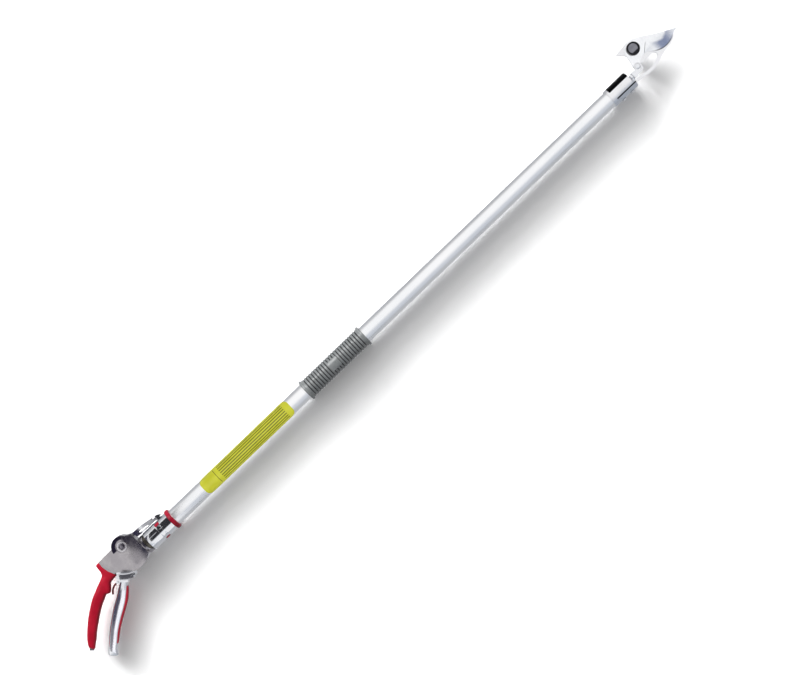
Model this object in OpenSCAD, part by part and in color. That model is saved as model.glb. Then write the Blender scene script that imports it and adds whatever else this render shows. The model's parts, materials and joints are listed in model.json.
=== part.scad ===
// Long reach tree pruner: a lever behind an aluminium tube pulls a rod that works a bypass blade.
// X runs along the tube towards the blade, Y is the side that both pivots stand on, Z is square to the blade.
// The origin lies on the tube's axis, halfway along the tube. All sizes are in millimetres and degrees.

/* [Pole] */
// Length of the aluminium tube
tube_len = 952; // [700:1:1600]
// Outer diameter of the tube
tube_d = 25; // [24:0.5:26]
// Wall of the tube
tube_wall = 1.5; // [1.3:0.1:1.7]
// Diameter of the pull rod
rod_d = 6; // [5:0.5:6.5]
// Gap between fixed pieces that seat on each other
seat_gap = 0.05; // [0.02:0.01:0.08]
// Radial clearance of a running fit
run_gap = 0.05; // [0.03:0.01:0.08]

/* [Rubber grip and label] */
// Distance from the tube's rear end to the rubber grip
grip_from = 310; // [220:1:400]
// Length of the rubber grip
grip_len = 116; // [80:1:160]
// Thickness of the grip at its ribs
grip_wall = 2.3; // [1.8:0.1:3]
// Depth of the grooves between ribs
rib_depth = 1.1; // [0.6:0.1:1.4]
// Pitch of the ribs
rib_pitch = 4.75; // [3.5:0.25:7]
// Height of the grip's end beads above the ribs
bead_h = 1.7; // [1:0.1:2.5]
// Distance from the tube's rear end to the yellow film
label_from = 109; // [80:1:140]
// Length of the yellow film
label_len = 171; // [100:1:180]
// Thickness of the yellow film
label_t = 0.25; // [0.2:0.05:0.5]

/* [Rear socket] */
// Length of the chromed socket sleeve
sleeve_len = 43.6; // [42:0.2:46]
// Wall of the socket sleeve
sleeve_wall = 1; // [0.8:0.1:1.2]
// Wall of the red bush between the tube and the sleeve
bush_wall = 0.7; // [0.5:0.05:0.9]
// Thickness of the red bush's flange
bush_flange_t = 6; // [4:0.5:8]
// Length of the bronze swivel ring
ring_len = 5; // [3:0.5:6]
// Distance from the tube's rear end to the latch pin
latch_pin_from = 30; // [29:0.5:31]
// Diameter of the latch pin
latch_pin_d = 3; // [2.5:0.1:3.2]
// Width of the latch channel
latch_w = 13; // [12:0.5:14]
// Sheet thickness of the latch
latch_t = 1.2; // [1:0.1:1.4]

/* [Handle] */
// Distance of the lever pivot behind the tube's rear end
pivot_back = 31.5; // [31:0.5:32]
// Height of the lever pivot above the tube's axis, which is also the lever arm on the rod
pivot_up = 21.5; // [21:0.5:22]
// Diameter of the lever pivot bolt
pivot_d = 10; // [8:0.5:11]
// Width of the handle body over its two cheeks
body_w = 26; // [25:0.5:28]
// Radius of the boss round the lever pivot
boss_r = 15.5; // [14.5:0.5:16]
// Radius of the body's belly about the lever pivot
belly_r = 39.3; // [38.8:0.1:39.5]
// Thickness of the lever's root between the cheeks
root_t = 10; // [9:0.5:10.5]
// Side clearance of the lever's root in the body
root_gap = 0.3; // [0.2:0.05:0.4]
// Thickness of the lever's shoulder
shoulder_w = 24; // [20:0.5:25]
// Thickness of the red coat on the fixed handle
coat_w = 18; // [15:0.5:20]
// Thickness of the moving handle's grip
lever_w = 17; // [14:0.5:19]
// Thickness of the metal core inside the red coat
core_t = 6; // [4:0.5:8]
// Thickness of the red strip on the moving handle
pad_t = 2.2; // [1.5:0.1:3]

/* [Rod spool] */
// Radius of the spool's two collars
collar_r = 6.5; // [6.2:0.1:6.6]
// Thickness of each collar
collar_t = 3; // [2.5:0.1:3]
// Radius of the neck between the collars
neck_r = 2.5; // [2.3:0.1:2.6]
// Radius of the fork lobes that sit between the collars
lobe_r = 3.9; // [3.6:0.1:4]
// Gap between a lobe and a collar
lobe_gap = 0.25; // [0.22:0.01:0.28]

/* [Head] */
// Distance of the blade pivot in front of the tube
blade_fwd = 34; // [33:0.5:35]
// Height of the blade pivot above the tube's axis
blade_up = 29; // [28:0.5:30]
// Diameter of the blade pivot bolt
blade_bolt_d = 8; // [6:0.5:9]
// Radius of the blade pivot's round dark head
blade_head_r = 9.7; // [8.5:0.1:10.5]
// Thickness of the blade
blade_t = 3.2; // [2.6:0.1:3.4]
// Thickness of the hook plate
hook_t = 4.5; // [3.5:0.1:5]
// Radius of the curved cutting edge
edge_r = 32; // [30:0.5:34]
// Width of the hollow ground band behind the edge
grind_w = 13; // [8:0.5:15]
// Clearance between the blade and the hook plate
shear_gap = 0.1; // [0.05:0.01:0.2]
// Diameter of the link pin
link_d = 4.4; // [4:0.1:4.6]
// Side clearance of the link pin in its slot
link_gap = 0.3; // [0.25:0.05:0.4]
// Length of the clamp that holds the head on the tube
clamp_len = 40; // [34:1:46]
// Wall of the clamp's cap and saddle
clamp_wall = 1.6; // [1.2:0.1:2]
// Diameter of the clamp screws
screw_d = 4; // [3:0.5:4.5]

/* [Hidden] */
$fn = 64;

tube_r = tube_d / 2;
bore_r = tube_r - tube_wall;
rod_r = rod_d / 2;
rear_x = -tube_len / 2;
front_x = tube_len / 2;

// Rear socket
bush_r = tube_r + seat_gap + bush_wall;
sleeve_in = bush_r + seat_gap;
sleeve_r = sleeve_in + sleeve_wall;
ring_gap = 0.1;
ring_r = sleeve_r - 1.3;
ring_end = ring_gap + ring_len;
collar_face = ring_end + ring_gap;
inner_r = bore_r - seat_gap;
spigot_share = 0.785;
spigot_r = inner_r * spigot_share;
rod_bore = collar_r + 0.5;
stop_from = 20;
stop_len = 6;
spigot_head = 4;
lug_at = 22;
lug_len = 7;
lug_w = 5;

// Lever pivot and linkage
pivot = [rear_x - pivot_back, pivot_up];
neck_half = lobe_r + lobe_gap;
spool_half = neck_half + collar_t;
gap_half = root_t / 2 + root_gap;

// Spring in the tube
spring_from = 60;
spring_len = 46;
spring_r = 7;
wire_r = 0.9;
spring_turns = 9;

// Head
link_rel = [-13, -22.5];
bolt_at = [front_x + blade_fwd, blade_up];
link_at = bolt_at + link_rel;
clamp_r = tube_r + seat_gap + clamp_wall;
blade_z = shear_gap;
eye_z = blade_z + blade_t + 0.3;
eye_t = 3.2;
link_r = link_d / 2;
link_drop = 3.6;
step_t = 0.5;
edge_centre = bolt_at + [39, 2.2];
screw_r = screw_d / 2;
saddle_at = [8, 24];
cap_at = [10, 30];

// Shapes that more than one piece uses

// A shape drawn square to X at x, with its first axis on -Z and its second on Y
module along_x(x) {
    translate([x, 0, 0]) rotate([0, 90, 0]) children();
}

// A ring about the tube's axis
module ring_x(x, len, outer, inner) {
    along_x(x) difference() {
        cylinder(h = len, r = outer);
        translate([0, 0, -1]) cylinder(h = len + 2, r = inner);
    }
}

// A plate in the XY plane between two heights
module plate(z0, z1) {
    translate([0, 0, z0]) linear_extrude(z1 - z0) children();
}

// A round pin or hole along Z at a point of the plane
module peg(at, r, z0, z1) {
    translate([at[0], at[1], z0]) cylinder(h = z1 - z0, r = r);
}

// Points of an arc about a centre
function arc(c, r, a0, a1, n) =
    [for (i = [0:n]) c + r * [cos(a0 + (a1 - a0) * i / n), sin(a0 + (a1 - a0) * i / n)]];

// A plane sector between two angles, wide enough to cut with
module sector(c, r, a0, a1) {
    outline(concat([c], arc(c, r, a0, a1, 12)));
}

// A closed outline, turned anticlockwise whichever way its points run
function turn(p, i = 0) = i == len(p) ? 0 : cross(p[i], p[(i + 1) % len(p)]) + turn(p, i + 1);
module outline(p) {
    polygon(turn(p) > 0 ? p : [for (i = [len(p) - 1:-1:0]) p[i]]);
}

// A smooth curve through rows of values, with n steps between two rows
function blend(a, b, c, d, t) =
    0.5 * (2 * b + (c - a) * t + (2 * a - 5 * b + 4 * c - d) * t * t + (3 * b - a - 3 * c + d) * t * t * t);
function smooth(rows, n) = let(last = len(rows) - 1) concat(
    [for (i = [0:last - 1]) for (k = [0:n - 1])
        blend(rows[max(i - 1, 0)], rows[i], rows[i + 1], rows[min(i + 2, last)], k / n)],
    [rows[last]]);

// A band of one width along a smooth line
function side_of(line, i) =
    let(a = line[max(i - 1, 0)], b = line[min(i + 1, len(line) - 1)], d = b - a) [-d[1], d[0]] / norm(d);
function band(line, w) = concat(
    [for (i = [0:len(line) - 1]) line[i] + side_of(line, i) * w],
    [for (i = [len(line) - 1:-1:0]) line[i] - side_of(line, i) * w]);

// One rounded section: a row holds the outer point, the inner point and half the thickness along Z
function bulge(v, p) = sign(v) * pow(abs(v), p);
function section(row, sides, p) =
    let(o = [row[0], row[1]], i = [row[2], row[3]], mid = (o + i) / 2, half = (o - i) / 2)
    [for (k = [0:sides - 1]) let(a = -360 * k / sides, q = mid + half * bulge(cos(a), p))
        [q[0], q[1], row[4] * bulge(sin(a), p)]];

// A closed skin over rings of equal length, first and last ring capped
module skin(rings) {
    m = len(rings[0]);
    n = len(rings);
    polyhedron(
        points = [for (r = rings) each r],
        faces = concat(
            [for (i = [0:n - 2]) for (k = [0:m - 1]) let(a = i * m + k, b = i * m + (k + 1) % m) each
                [[a, a + m, b], [b, a + m, b + m]]],
            [[for (k = [0:m - 1]) k]],
            [[for (k = [m - 1:-1:0]) (n - 1) * m + k]]),
        convexity = 6);
}

// A coil of round wire about Z, with flat-topped ends left plain
module coil(r, wire, len, turns, steps, sides) {
    skin([for (i = [0:turns * steps])
        let(a = 360 * i / steps, z = len * i / (turns * steps), out = [cos(a), sin(a), 0])
        [for (k = [0:sides - 1]) let(b = -360 * k / sides)
            out * (r + wire * cos(b)) + [0, 0, z + wire * sin(b)]]]);
}

// Pole

module pole_tube() {
    color("gainsboro") difference() {
        ring_x(rear_x, tube_len, tube_r, bore_r);
        clamp_holes(screw_r + seat_gap);
    }
}

// Rubber sleeve with ribs, a bead at each end and a plain pad on the side of the blade's bolt
module ribbed_grip() {
    inner = tube_r + seat_gap;
    outer = tube_r + grip_wall;
    low = outer - rib_depth;
    ribs = floor((grip_len - 10) / rib_pitch);
    start = (grip_len - ribs * rib_pitch) / 2;
    profile = concat(
        [[inner, 0], [outer + bead_h - 1, 0], [outer + bead_h, 1], [outer + bead_h, 3], [outer, 4]],
        [for (i = [0:ribs - 1]) let(x = start + i * rib_pitch) each [
            [outer, x + rib_pitch * 0.3], [low, x + rib_pitch * 0.45],
            [low, x + rib_pitch * 0.7], [outer, x + rib_pitch * 0.85]]],
        [[outer, grip_len - 4], [outer + bead_h, grip_len - 3], [outer + bead_h, grip_len - 1],
            [outer + bead_h - 1, grip_len], [inner, grip_len]]);
    color("dimgray") union() {
        along_x(rear_x + grip_from) rotate_extrude() polygon(profile);
        intersection() {
            ring_x(rear_x + grip_from + grip_len * 0.41, grip_len * 0.16, outer + 0.2, inner);
            translate([rear_x + grip_from, -tube_r * 0.6, 0]) cube([grip_len, tube_r * 1.2, tube_d]);
        }
    }
}

// Plain yellow film round the side of the tube that faces the user
module label_band() {
    r = 7;
    x0 = rear_x + label_from;
    film = tube_r + seat_gap;
    half = film + label_t + 1;
    color("gold") intersection() {
        ring_x(x0, label_len, film + label_t, film);
        plate(0.6, tube_d) union() {
            translate([x0 + r, -half]) square([label_len - 2 * r, 2 * half]);
            translate([x0, r - tube_r]) square([label_len, tube_d - 2 * r]);
            for (x = [x0 + r, x0 + label_len - r], s = [-1, 1]) translate([x, s * (tube_r - r)]) circle(r);
        }
    }
}

// Red plastic bush with its flange and three snap lugs
module socket_bush() {
    color("crimson") union() {
        ring_x(rear_x + 0.3, sleeve_len - 0.3, bush_r, tube_r + seat_gap);
        along_x(rear_x + sleeve_len + seat_gap) rotate_extrude() polygon([
            [tube_r + seat_gap, -0.3], [bush_r, -0.3], [bush_r, 0], [sleeve_r + 1.2, 0],
            [sleeve_r + 1.8, 0.6], [sleeve_r + 1.8, bush_flange_t - 1.6], [sleeve_r + 0.6, bush_flange_t],
            [tube_r + seat_gap, bush_flange_t]]);
        intersection() {
            ring_x(rear_x + lug_at, lug_len, sleeve_r + 0.4, bush_r - 0.2);
            lug_blocks(lug_len, lug_w);
        }
    }
}

// Three blocks at the lugs, 120 degrees apart
module lug_blocks(len, w) {
    for (a = [45, 165, 285]) rotate([-a, 0, 0])
        translate([rear_x + lug_at + (lug_len - len) / 2, -w / 2, 0]) cube([len, w, tube_d]);
}

// Chromed socket: a wide end, a rolled hollow at the lugs and a narrow end, one turned profile
module socket_sleeve() {
    wide = sleeve_r + 0.4;
    groove = [lug_at - 1, lug_at + lug_len + 1];
    color("silver") difference() {
        along_x(rear_x) rotate_extrude() polygon(concat(
            [[sleeve_in, 0], [wide - 0.4, 0], [wide, 0.4], [wide, groove[0] - 0.5], [wide - 0.1, groove[0]]],
            [for (i = [1:7]) [sleeve_r + 0.1 - 0.45 * sin(180 * i / 8),
                groove[0] + (groove[1] - groove[0]) * i / 8]],
            [[sleeve_r + 0.1, groove[1]], [sleeve_r, groove[1] + 0.8], [sleeve_r, sleeve_len - 0.4],
                [sleeve_r - 0.3, sleeve_len], [sleeve_in, sleeve_len]]));
        lug_blocks(lug_len + 0.6, lug_w + 0.6);
    }
}

// Bronze bush that the handle turns on
module swivel_ring() {
    color("peru") ring_x(rear_x - ring_end, ring_len, ring_r, inner_r + run_gap);
}

// Steel ring fixed inside the tube, which keeps the spigot's head from pulling out
module inner_stop() {
    color("slategray") ring_x(rear_x + stop_from, stop_len, inner_r, spigot_r + run_gap);
}

// Fixed washer that the return spring bears on
module spring_stop() {
    color("slategray") ring_x(rear_x + spring_from - 5, 5, inner_r, rod_r + 0.4);
}

// Nylon guides that keep the rod in the middle of the tube
module rod_guides() {
    first = rear_x + spring_from + spring_len + 60;
    last = front_x - clamp_len - 120;
    color("ivory") for (i = [0:2]) along_x(first + (last - first) * i / 2) difference() {
        union() {
            cylinder(h = 12, r = inner_r - 1.5);
            cylinder(h = 2.5, r = inner_r);
            translate([0, 0, 9.5]) cylinder(h = 2.5, r = inner_r);
        }
        translate([0, 0, -1]) cylinder(h = 14, r = rod_r + 0.2);
    }
}

// Swivel latch on the socket

latch_at = [rear_x + latch_pin_from, sleeve_r + 2.6];
latch_r = latch_pin_d / 2;
ear_out = latch_w / 2 - latch_t - 0.2;
ear_in = ear_out - 1.4;
saddle_from = latch_pin_d / 2 + 1;
saddle_len = 3.4;
saddle_t = 1.2;

// Saddle brazed on the sleeve, with two ears for the latch pin
module latch_bracket() {
    base = sleeve_r + seat_gap;
    color("silver") difference() {
        union() {
            intersection() {
                ring_x(latch_at[0] + saddle_from, saddle_len, base + saddle_t, base);
                translate([rear_x, 0, -ear_out]) cube([sleeve_len, tube_d, 2 * ear_out]);
            }
            for (s = [-1, 1]) plate(min(s * ear_in, s * ear_out), max(s * ear_in, s * ear_out)) union() {
                translate(latch_at) circle(latch_r + 0.9);
                translate(latch_at) polygon([[1, -4], [5.5, -4], [5.5, -1.2], [4.2, 0], [1, 0]]);
            }
        }
        along_x(rear_x) cylinder(h = sleeve_len, r = base);
        peg(latch_at, latch_r + seat_gap, -latch_w, latch_w);
    }
}

module latch_pin() {
    color("gray") peg(latch_at, latch_r, -latch_w / 2 - 0.6, latch_w / 2 + 0.6);
}

// Outline of the latch seen along Z, from its rear end to its nose over the bracket
function latch_outline() = let(x = rear_x, y = sleeve_r) [
    [x - 8.6, y + 10.6], [x - 4, y + 11.2], [x + 10, y + 10.3], [x + 33, y + 6.2], [x + 38, y + 3.4],
    [x + 38, y + 2.2], [x + 26, y + 1.2], [x - 3, y + 1.6], [x - 5.2, y + 2.6], [x - 8.6, y + 6.8]];

// Pressed channel: two slotted cheeks, a top web and a curled thumb end
module swivel_latch() {
    color("silver") difference() {
        union() {
            difference() {
                plate(-latch_w / 2, latch_w / 2) outline(latch_outline());
                translate([0, -latch_t - 0.05, 0]) plate(-latch_w / 2 + latch_t, latch_w / 2 - latch_t)
                    outline(latch_outline());
            }
            plate(-latch_w / 2 + latch_t, latch_w / 2 - latch_t) difference() {
                translate([rear_x - 4.6, sleeve_r + 5.2]) circle(3.2);
                translate([rear_x - 4.6, sleeve_r + 5.2]) circle(2);
                translate([rear_x - 4.6, sleeve_r + 4.2]) square([6, 2]);
            }
        }
        peg(latch_at, latch_r + run_gap, -latch_w, latch_w);
        plate(-latch_w, latch_w) slot2([rear_x - 1.5, sleeve_r + 5.2], [rear_x + 15, sleeve_r + 3.4], 0.9);
        plate(-latch_w, latch_w) slot2([rear_x + 24.5, sleeve_r + 5.9], [rear_x + 30.5, sleeve_r + 5.6], 0.6);
    }
}

// A slot with round ends between two points of the plane
module slot2(a, b, r) {
    translate(a) circle(r);
    translate(b) circle(r);
    outline(band([a, b], r));
}

// Torsion spring round the latch pin, one leg on the bracket's saddle and one under the latch's web
module latch_spring() {
    wire = 0.3;
    r = latch_r + wire + 0.15;
    half = ear_in - 0.8;
    color("gray") translate([latch_at[0], latch_at[1], -half]) union() {
        coil(r, wire, 2 * half, 4, 12, 6);
        translate([r, 0, 2 * half]) rotate([-90, 0, 0]) cylinder(h = 2.2, r = wire);
        translate([r, 0, 0]) rotate([90, 0, 45]) cylinder(h = 1.7, r = wire);
    }
}

// Handle body

// The body's outline is a casting round the pivot: a boss, a belly about the pivot and a neck to the collar
function at_rear(p) = [rear_x + p[0], p[1]];
coat_edge = [for (p = [[-72, 28.5], [-73, 20], [-71, 10], [-67, 1]]) at_rear(p)];
neck_top = [for (p = [[-17.5, 29.6], [-12.5, 26.6], [-9.6, 26.2], [-9.6, 13.4]]) at_rear(p)];

module body_outline() {
    union() {
        translate(pivot) circle(boss_r, $fn = 128);
        intersection() {
            outline(concat(coat_edge, [at_rear([-63, 0]), at_rear([-43.4, -14.6]), at_rear([-40, -30]),
                at_rear([-6.6, -30]), at_rear([-collar_face - 1.2, 8])], [for (i = [3:-1:0]) neck_top[i]]));
            union() {
                translate(pivot) circle(belly_r, $fn = 160);
                translate([rear_x - 90, -5]) square([40, 45]);
            }
        }
    }
}

// Round collar over the bronze bush, scooped on both faces so that the bush shows
module body_collar() {
    len = 9 + collar_face - 1.2;
    scoop = 19;
    difference() {
        along_x(rear_x - collar_face - 9) rotate_extrude() polygon([[0, 0], [10.5, 0], [sleeve_r - 1.4, 4],
            [sleeve_r - 0.1, 5.6], [sleeve_r - 0.1, len - 0.5], [sleeve_r - 0.6, len], [0, len]]);
        along_x(rear_x - collar_face) cylinder(h = 20, r = ring_r + run_gap);
        for (s = [-1, 1])
            peg([rear_x - collar_face - 0.6 + scoop, 0.6], scoop, s > 0 ? 3 : -30, s > 0 ? 30 : -3);
    }
}

// The body seen along Y: full width at the boss, drawn in towards the handle
module body_plan() {
    h = body_w / 2;
    polygon(concat(
        [[rear_x - 74, -coat_w / 2 + 0.6], [rear_x - 56, -h + 1.8], [rear_x - 44, -h], [rear_x - 10, -h],
            [rear_x - collar_face, -h + 1]],
        [[rear_x - collar_face, h - 1], [rear_x - 10, h], [rear_x - 44, h], [rear_x - 56, h - 1.8],
            [rear_x - 74, coat_w / 2 - 0.6]]));
}

// Line down the middle of the red handle, which its core follows until its tip shows bare
function middle(rows) = [for (r = rows) ([r[0], r[1]] + [r[2], r[3]]) / 2];
function core_line() = let(m = middle(coat_rows()), last = len(m) - 1)
    concat([for (i = [27:3:last - 3]) m[i]], [m[last] + (m[last] - m[last - 6]) * 0.35]);

module handle_body() {
    core = core_line();
    color("darkgray") difference() {
        union() {
            intersection() {
                plate(-body_w, body_w) body_outline();
                rotate([90, 0, 0]) translate([0, 0, -60]) linear_extrude(120) body_plan();
            }
            body_collar();
            plate(-core_t / 2, core_t / 2) union() {
                outline(band(core, 3));
                outline([at_rear([-68, 23]), at_rear([-76, 22]), at_rear([-78, 10]), core[2] + [0, 3],
                    core[2] - [0, 3], at_rear([-70, 2]), at_rear([-66, 6])]);
            }
        }
        plate(-gap_half, gap_half) lever_room();
        peg(pivot, pivot_d / 2 + seat_gap, -body_w, body_w);
        along_x(pivot[0] - spool_half - 2) cylinder(h = pivot_back + spool_half, r = rod_bore);
        along_x(rear_x - 16) cylinder(h = 16, r = spigot_r + seat_gap);
        peg(pivot, boss_r * 0.56, body_w / 2 - 1, body_w);
    }
}

// The space between the cheeks that the lever's root sweeps
module lever_room() {
    union() {
        translate(pivot) circle(11.6);
        sector(pivot, 60, 208, 290);
        sector(pivot, 27, 258, 314);
        sector(pivot, pivot_up - lobe_r - 0.8, 250, 338);
    }
}

// Steel spigot that turns in the tube's end, with a head in front of the inner stop
module swivel_spigot() {
    head_at = rear_x + stop_from + stop_len + 0.2;
    color("lightslategray") difference() {
        union() {
            along_x(rear_x - 15.5) cylinder(h = 15.5 + stop_from + stop_len + 1, r = spigot_r);
            along_x(rear_x - collar_face) cylinder(h = collar_face + stop_from - 0.2, r = inner_r - run_gap);
            along_x(head_at) cylinder(h = spigot_head, r = inner_r - run_gap);
        }
        along_x(rear_x - 20) cylinder(h = 80, r = rod_bore);
        along_x(rear_x - 20) cylinder(h = 20 - collar_face, r = rod_bore);
    }
}

// Red coat

// Rows of outer point, inner point and half thickness from the finger guard to the handle's end
function coat_rows() = let(h = coat_w / 2, rows = [
    [-78.5, 28.3, -64, 28.4, 3.5], [-79.7, 26.5, -62, 27, h - 2.2], [-80.3, 22, -62, 20, h - 1],
    [-80.8, 16.5, -62, 11, h - 0.4], [-82.6, 12.3, -62, 3, h], [-85, 10.4, -64, -2.2, h],
    [-88, 9, -73, -3.2, h], [-92, 7.4, -80, -4.6, h], [-96, 5.8, -84, -8.5, h], [-100, 4.2, -90.5, -14.2, h],
    [-105, 1.9, -96.5, -12.6, h], [-112, -1, -104, -15.6, h], [-120, -5.4, -111.5, -19.2, h],
    [-130, -12, -121, -25, h], [-140, -19.6, -131, -32, h], [-150, -28.4, -141, -39.5, h - 0.3],
    [-159, -37.4, -150.5, -47.6, h - 0.8], [-164, -43.6, -157, -52.6, h - 1.6],
    [-166.6, -48, -161, -56.2, h - 3], [-167.4, -50.4, -163.4, -57, h - 6]])
    smooth([for (r = rows) [rear_x + r[0], r[1], rear_x + r[2], r[3], r[4]]], 3);

module handle_coat() {
    core = core_line();
    color("firebrick") difference() {
        skin([for (r = coat_rows()) section(r, 18, 0.7)]);
        plate(-coat_w, coat_w) outline(concat([at_rear([-72, 40])], coat_edge,
            [at_rear([-66.4, -8]), at_rear([-40, -8]), at_rear([-40, 40])]));
        plate(-core_t / 2 - seat_gap, core_t / 2 + seat_gap) union() {
            outline(band(core, 3 + seat_gap));
            outline([at_rear([-60, 23.1]), at_rear([-76.1, 22.1]), at_rear([-78.1, 10]), core[2] + [-0.1, 3.1],
                core[2] - [0.1, 3.1], at_rear([-70, 1.9]), at_rear([-60, 5.9])]);
        }
    }
}

// Lever pivot

// Bolt with a dished head, seated in a shallow spot face
module pivot_bolt() {
    top = body_w / 2 - 1;
    color("silver") union() {
        peg(pivot, pivot_d / 2, -body_w / 2 - 4, top);
        translate([pivot[0], pivot[1], top]) rotate_extrude() polygon([
            [0, 0], [7.5, 0], [7.5, 2.4], [6.9, 3.2], [5.6, 3.2], [4.6, 2], [3.4, 1.4], [3.1, 2.2], [0, 2.6]]);
    }
}

module pivot_nut() {
    z = -body_w / 2;
    color("silver") difference() {
        union() {
            peg(pivot, 9, z - 1.2, z);
            translate([pivot[0], pivot[1], z - 4.5]) cylinder(h = 3.4, r = 8.6, $fn = 6);
        }
        peg(pivot, pivot_d / 2 + seat_gap, z - 6, z + 1);
    }
}

// Lever

// Rows of the lever's grip: inner point, outer point and half thickness
function lever_rows() = let(h = lever_w / 2, rows = [
    [-66.5, -9, -58.5, -19, h - 0.5], [-70, -12.6, -63.6, -22, h], [-80, -19, -71, -29, h],
    [-90, -25.6, -81, -37.5, h], [-100, -31.2, -91.5, -44.4, h], [-110, -38, -102, -50.6, h],
    [-120, -45.4, -112, -57, h],
    [-130, -53.4, -121, -63.6, h], [-140, -62.6, -130, -71.4, h], [-149, -71, -138, -78.2, h - 0.4],
    [-153.6, -76, -142.4, -83.6, h - 1.4], [-153.4, -78.6, -144.6, -86.2, h - 3],
    [-151.8, -80.4, -147.6, -84.8, h - 6]])
    smooth([for (r = rows) [rear_x + r[0], r[1], rear_x + r[2], r[3], r[4]]], 3);

catch_at = at_rear([-71, -11.2]);
catch_t = 3;

// The root between the cheeks: a web that clears the spool, and a fork with a lobe on each side of its neck
module lever() {
    half = root_t / 2;
    tine = neck_r + 0.3;
    lobe = pivot - [0, pivot_up];
    color("lightsteelblue") difference() {
        union() {
            plate(-half, half) difference() {
                union() {
                    translate(pivot) circle(11);
                    sector(pivot, belly_r + 2, 213, 252);
                }
                translate(pivot + [-12, -32]) square([26, 18.8]);
            }
            for (s = [-1, 1]) plate(s > 0 ? tine : -half, s > 0 ? half : -tine) union() {
                translate(lobe) circle(lobe_r);
                outline([lobe + [-1.6, 2], lobe + [lobe_r, 0], lobe + [lobe_r, 6.8], lobe + [6, 12],
                    lobe + [-4, 14], lobe + [-1.6, 9]]);
            }
            shoulder_step(belly_r + 0.7, 4.2, 216, 252, shoulder_w);
            shoulder_step(belly_r + 4, 3.6, 216, 247, shoulder_w - 3.4);
            shoulder_step(belly_r + 7, 5, 218, 236, shoulder_w - 6);
            skin([for (r = lever_rows()) section(r, 18, 0.72)]);
            plate(-5, 5) slot2(catch_at, catch_at + [5, -4], 3.8);
        }
        peg(pivot, pivot_d / 2 + run_gap, -body_w, body_w);
        plate(-catch_t / 2 - 0.3, catch_t / 2 + 0.3) catch_room();
        peg(catch_at, 1.5 + seat_gap, -10, 10);
    }
}

// One ring step of the shoulder, concentric with the pivot
module shoulder_step(r, t, a0, a1, w) {
    plate(-w / 2, w / 2) outline(concat(arc(pivot, r, a0, a1, 14), arc(pivot, r + t, a1, a0, 14)));
}

// Slot in the lever that the catch swings in
module catch_room() {
    translate(catch_at) circle(4.6);
    outline([catch_at + [1, 4.4], catch_at + [-24, 2], catch_at + [-24, -14], catch_at + [-5, -5.2]]);
}

// Red strip along the outer side of the moving handle
module lever_pad() {
    rows = lever_rows();
    a = 36;
    color("crimson") skin([for (i = [4:25])
        let(row = rows[i], u = (i - 4) / 21, t = pad_t * sqrt(1 - pow(2 * u - 1, 4)) * (1 - 0.6 * u) + 0.25)
        pad_ring(row, t, a)]);
}

// A ring of the strip: the lever's own section grown by the seat gap, and the same grown by the strip
function pad_ring(row, t, a) = let(
    o = [row[0], row[1]], i = [row[2], row[3]], mid = (o + i) / 2, half = (i - o) / 2, out = half / norm(half),
    side = function(k, grow) let(b = -a + 2 * a * k / 6, q = mid + half * bulge(cos(b), 0.72) + out * grow)
        [q[0], q[1], (row[4] + grow * 0.3) * bulge(sin(b), 0.72)])
    concat([for (k = [0:6]) side(k, t)], [for (k = [6:-1:0]) side(k, seat_gap)]);

module catch_pin() {
    color("gray") peg(catch_at, 1.5, -5.6, 5.6);
}

// Thin catch that hooks over the bump of the fixed handle
module catch_hook() {
    line = smooth([for (p = [[-1, 0], [-8, 0.4], [-14, -2.2], [-18.4, -6.6]]) catch_at + p], 4);
    color("darkred") difference() {
        plate(-catch_t / 2, catch_t / 2) union() {
            translate(catch_at) circle(3.4);
            outline(band(line, 1.35));
            translate(line[len(line) - 1]) circle(1.35);
        }
        peg(catch_at, 1.5 + run_gap, -10, 10);
    }
}

// Pull rod

module pull_rod() {
    color("lightgray") along_x(pivot[0] + spool_half + 2)
        cylinder(h = front_x + 12 - pivot[0] - spool_half - 2, r = rod_r);
}

// Spool on the rod's rear end, round so that the handle can turn about it
module rod_spool() {
    color("gray") along_x(pivot[0] - spool_half) difference() {
        rotate_extrude() polygon([
            [0, 0], [collar_r, 0], [collar_r, collar_t], [neck_r, collar_t], [neck_r, collar_t + 2 * neck_half],
            [collar_r, collar_t + 2 * neck_half], [collar_r, 2 * spool_half], [5, 2 * spool_half + 1.5],
            [5, 2 * spool_half + 12], [0, 2 * spool_half + 12]]);
        translate([0, 0, 2 * spool_half + 2]) cylinder(h = 20, r = rod_r + seat_gap);
    }
}

module spring_collar() {
    color("gray") ring_x(rear_x + spring_from + spring_len, 6, spring_r + 1.8, rod_r + seat_gap);
}

// Spring between the fixed washer and the rod's collar, which opens the blade again
module return_spring() {
    color("dimgray") along_x(rear_x + spring_from + wire_r + 0.1)
        coil(spring_r, wire_r, spring_len - 2 * wire_r - 0.2, spring_turns, 14, 6);
}

module rod_lock_nut() {
    color("silver") along_x(front_x + 3.2) difference() {
        cylinder(h = 3.4, r = 5.8, $fn = 6);
        translate([0, 0, -1]) cylinder(h = 6, r = rod_r + seat_gap);
    }
}

// Eye that joins the rod to the blade's tail: a block on the rod and a cranked tongue with an upright slot
module rod_eye() {
    block = front_x + 6.8;
    top = eye_z + eye_t;
    low = link_at - [0, link_drop];
    eye_r = link_r + link_gap + 3;
    color("silver") difference() {
        union() {
            translate([block, -3.6, -4]) cube([5.6, 9.4, 4 + top]);
            plate(eye_z, top) union() {
                translate([block, -2.4]) square([link_at[0] - block, 7.6]);
                slot2(link_at, low, eye_r);
            }
        }
        along_x(front_x) cylinder(h = 20, r = rod_r + seat_gap);
        plate(eye_z - 1, top + 1) slot2(link_at + [0, 0.4], low, link_r + link_gap);
    }
}

// Head

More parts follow.
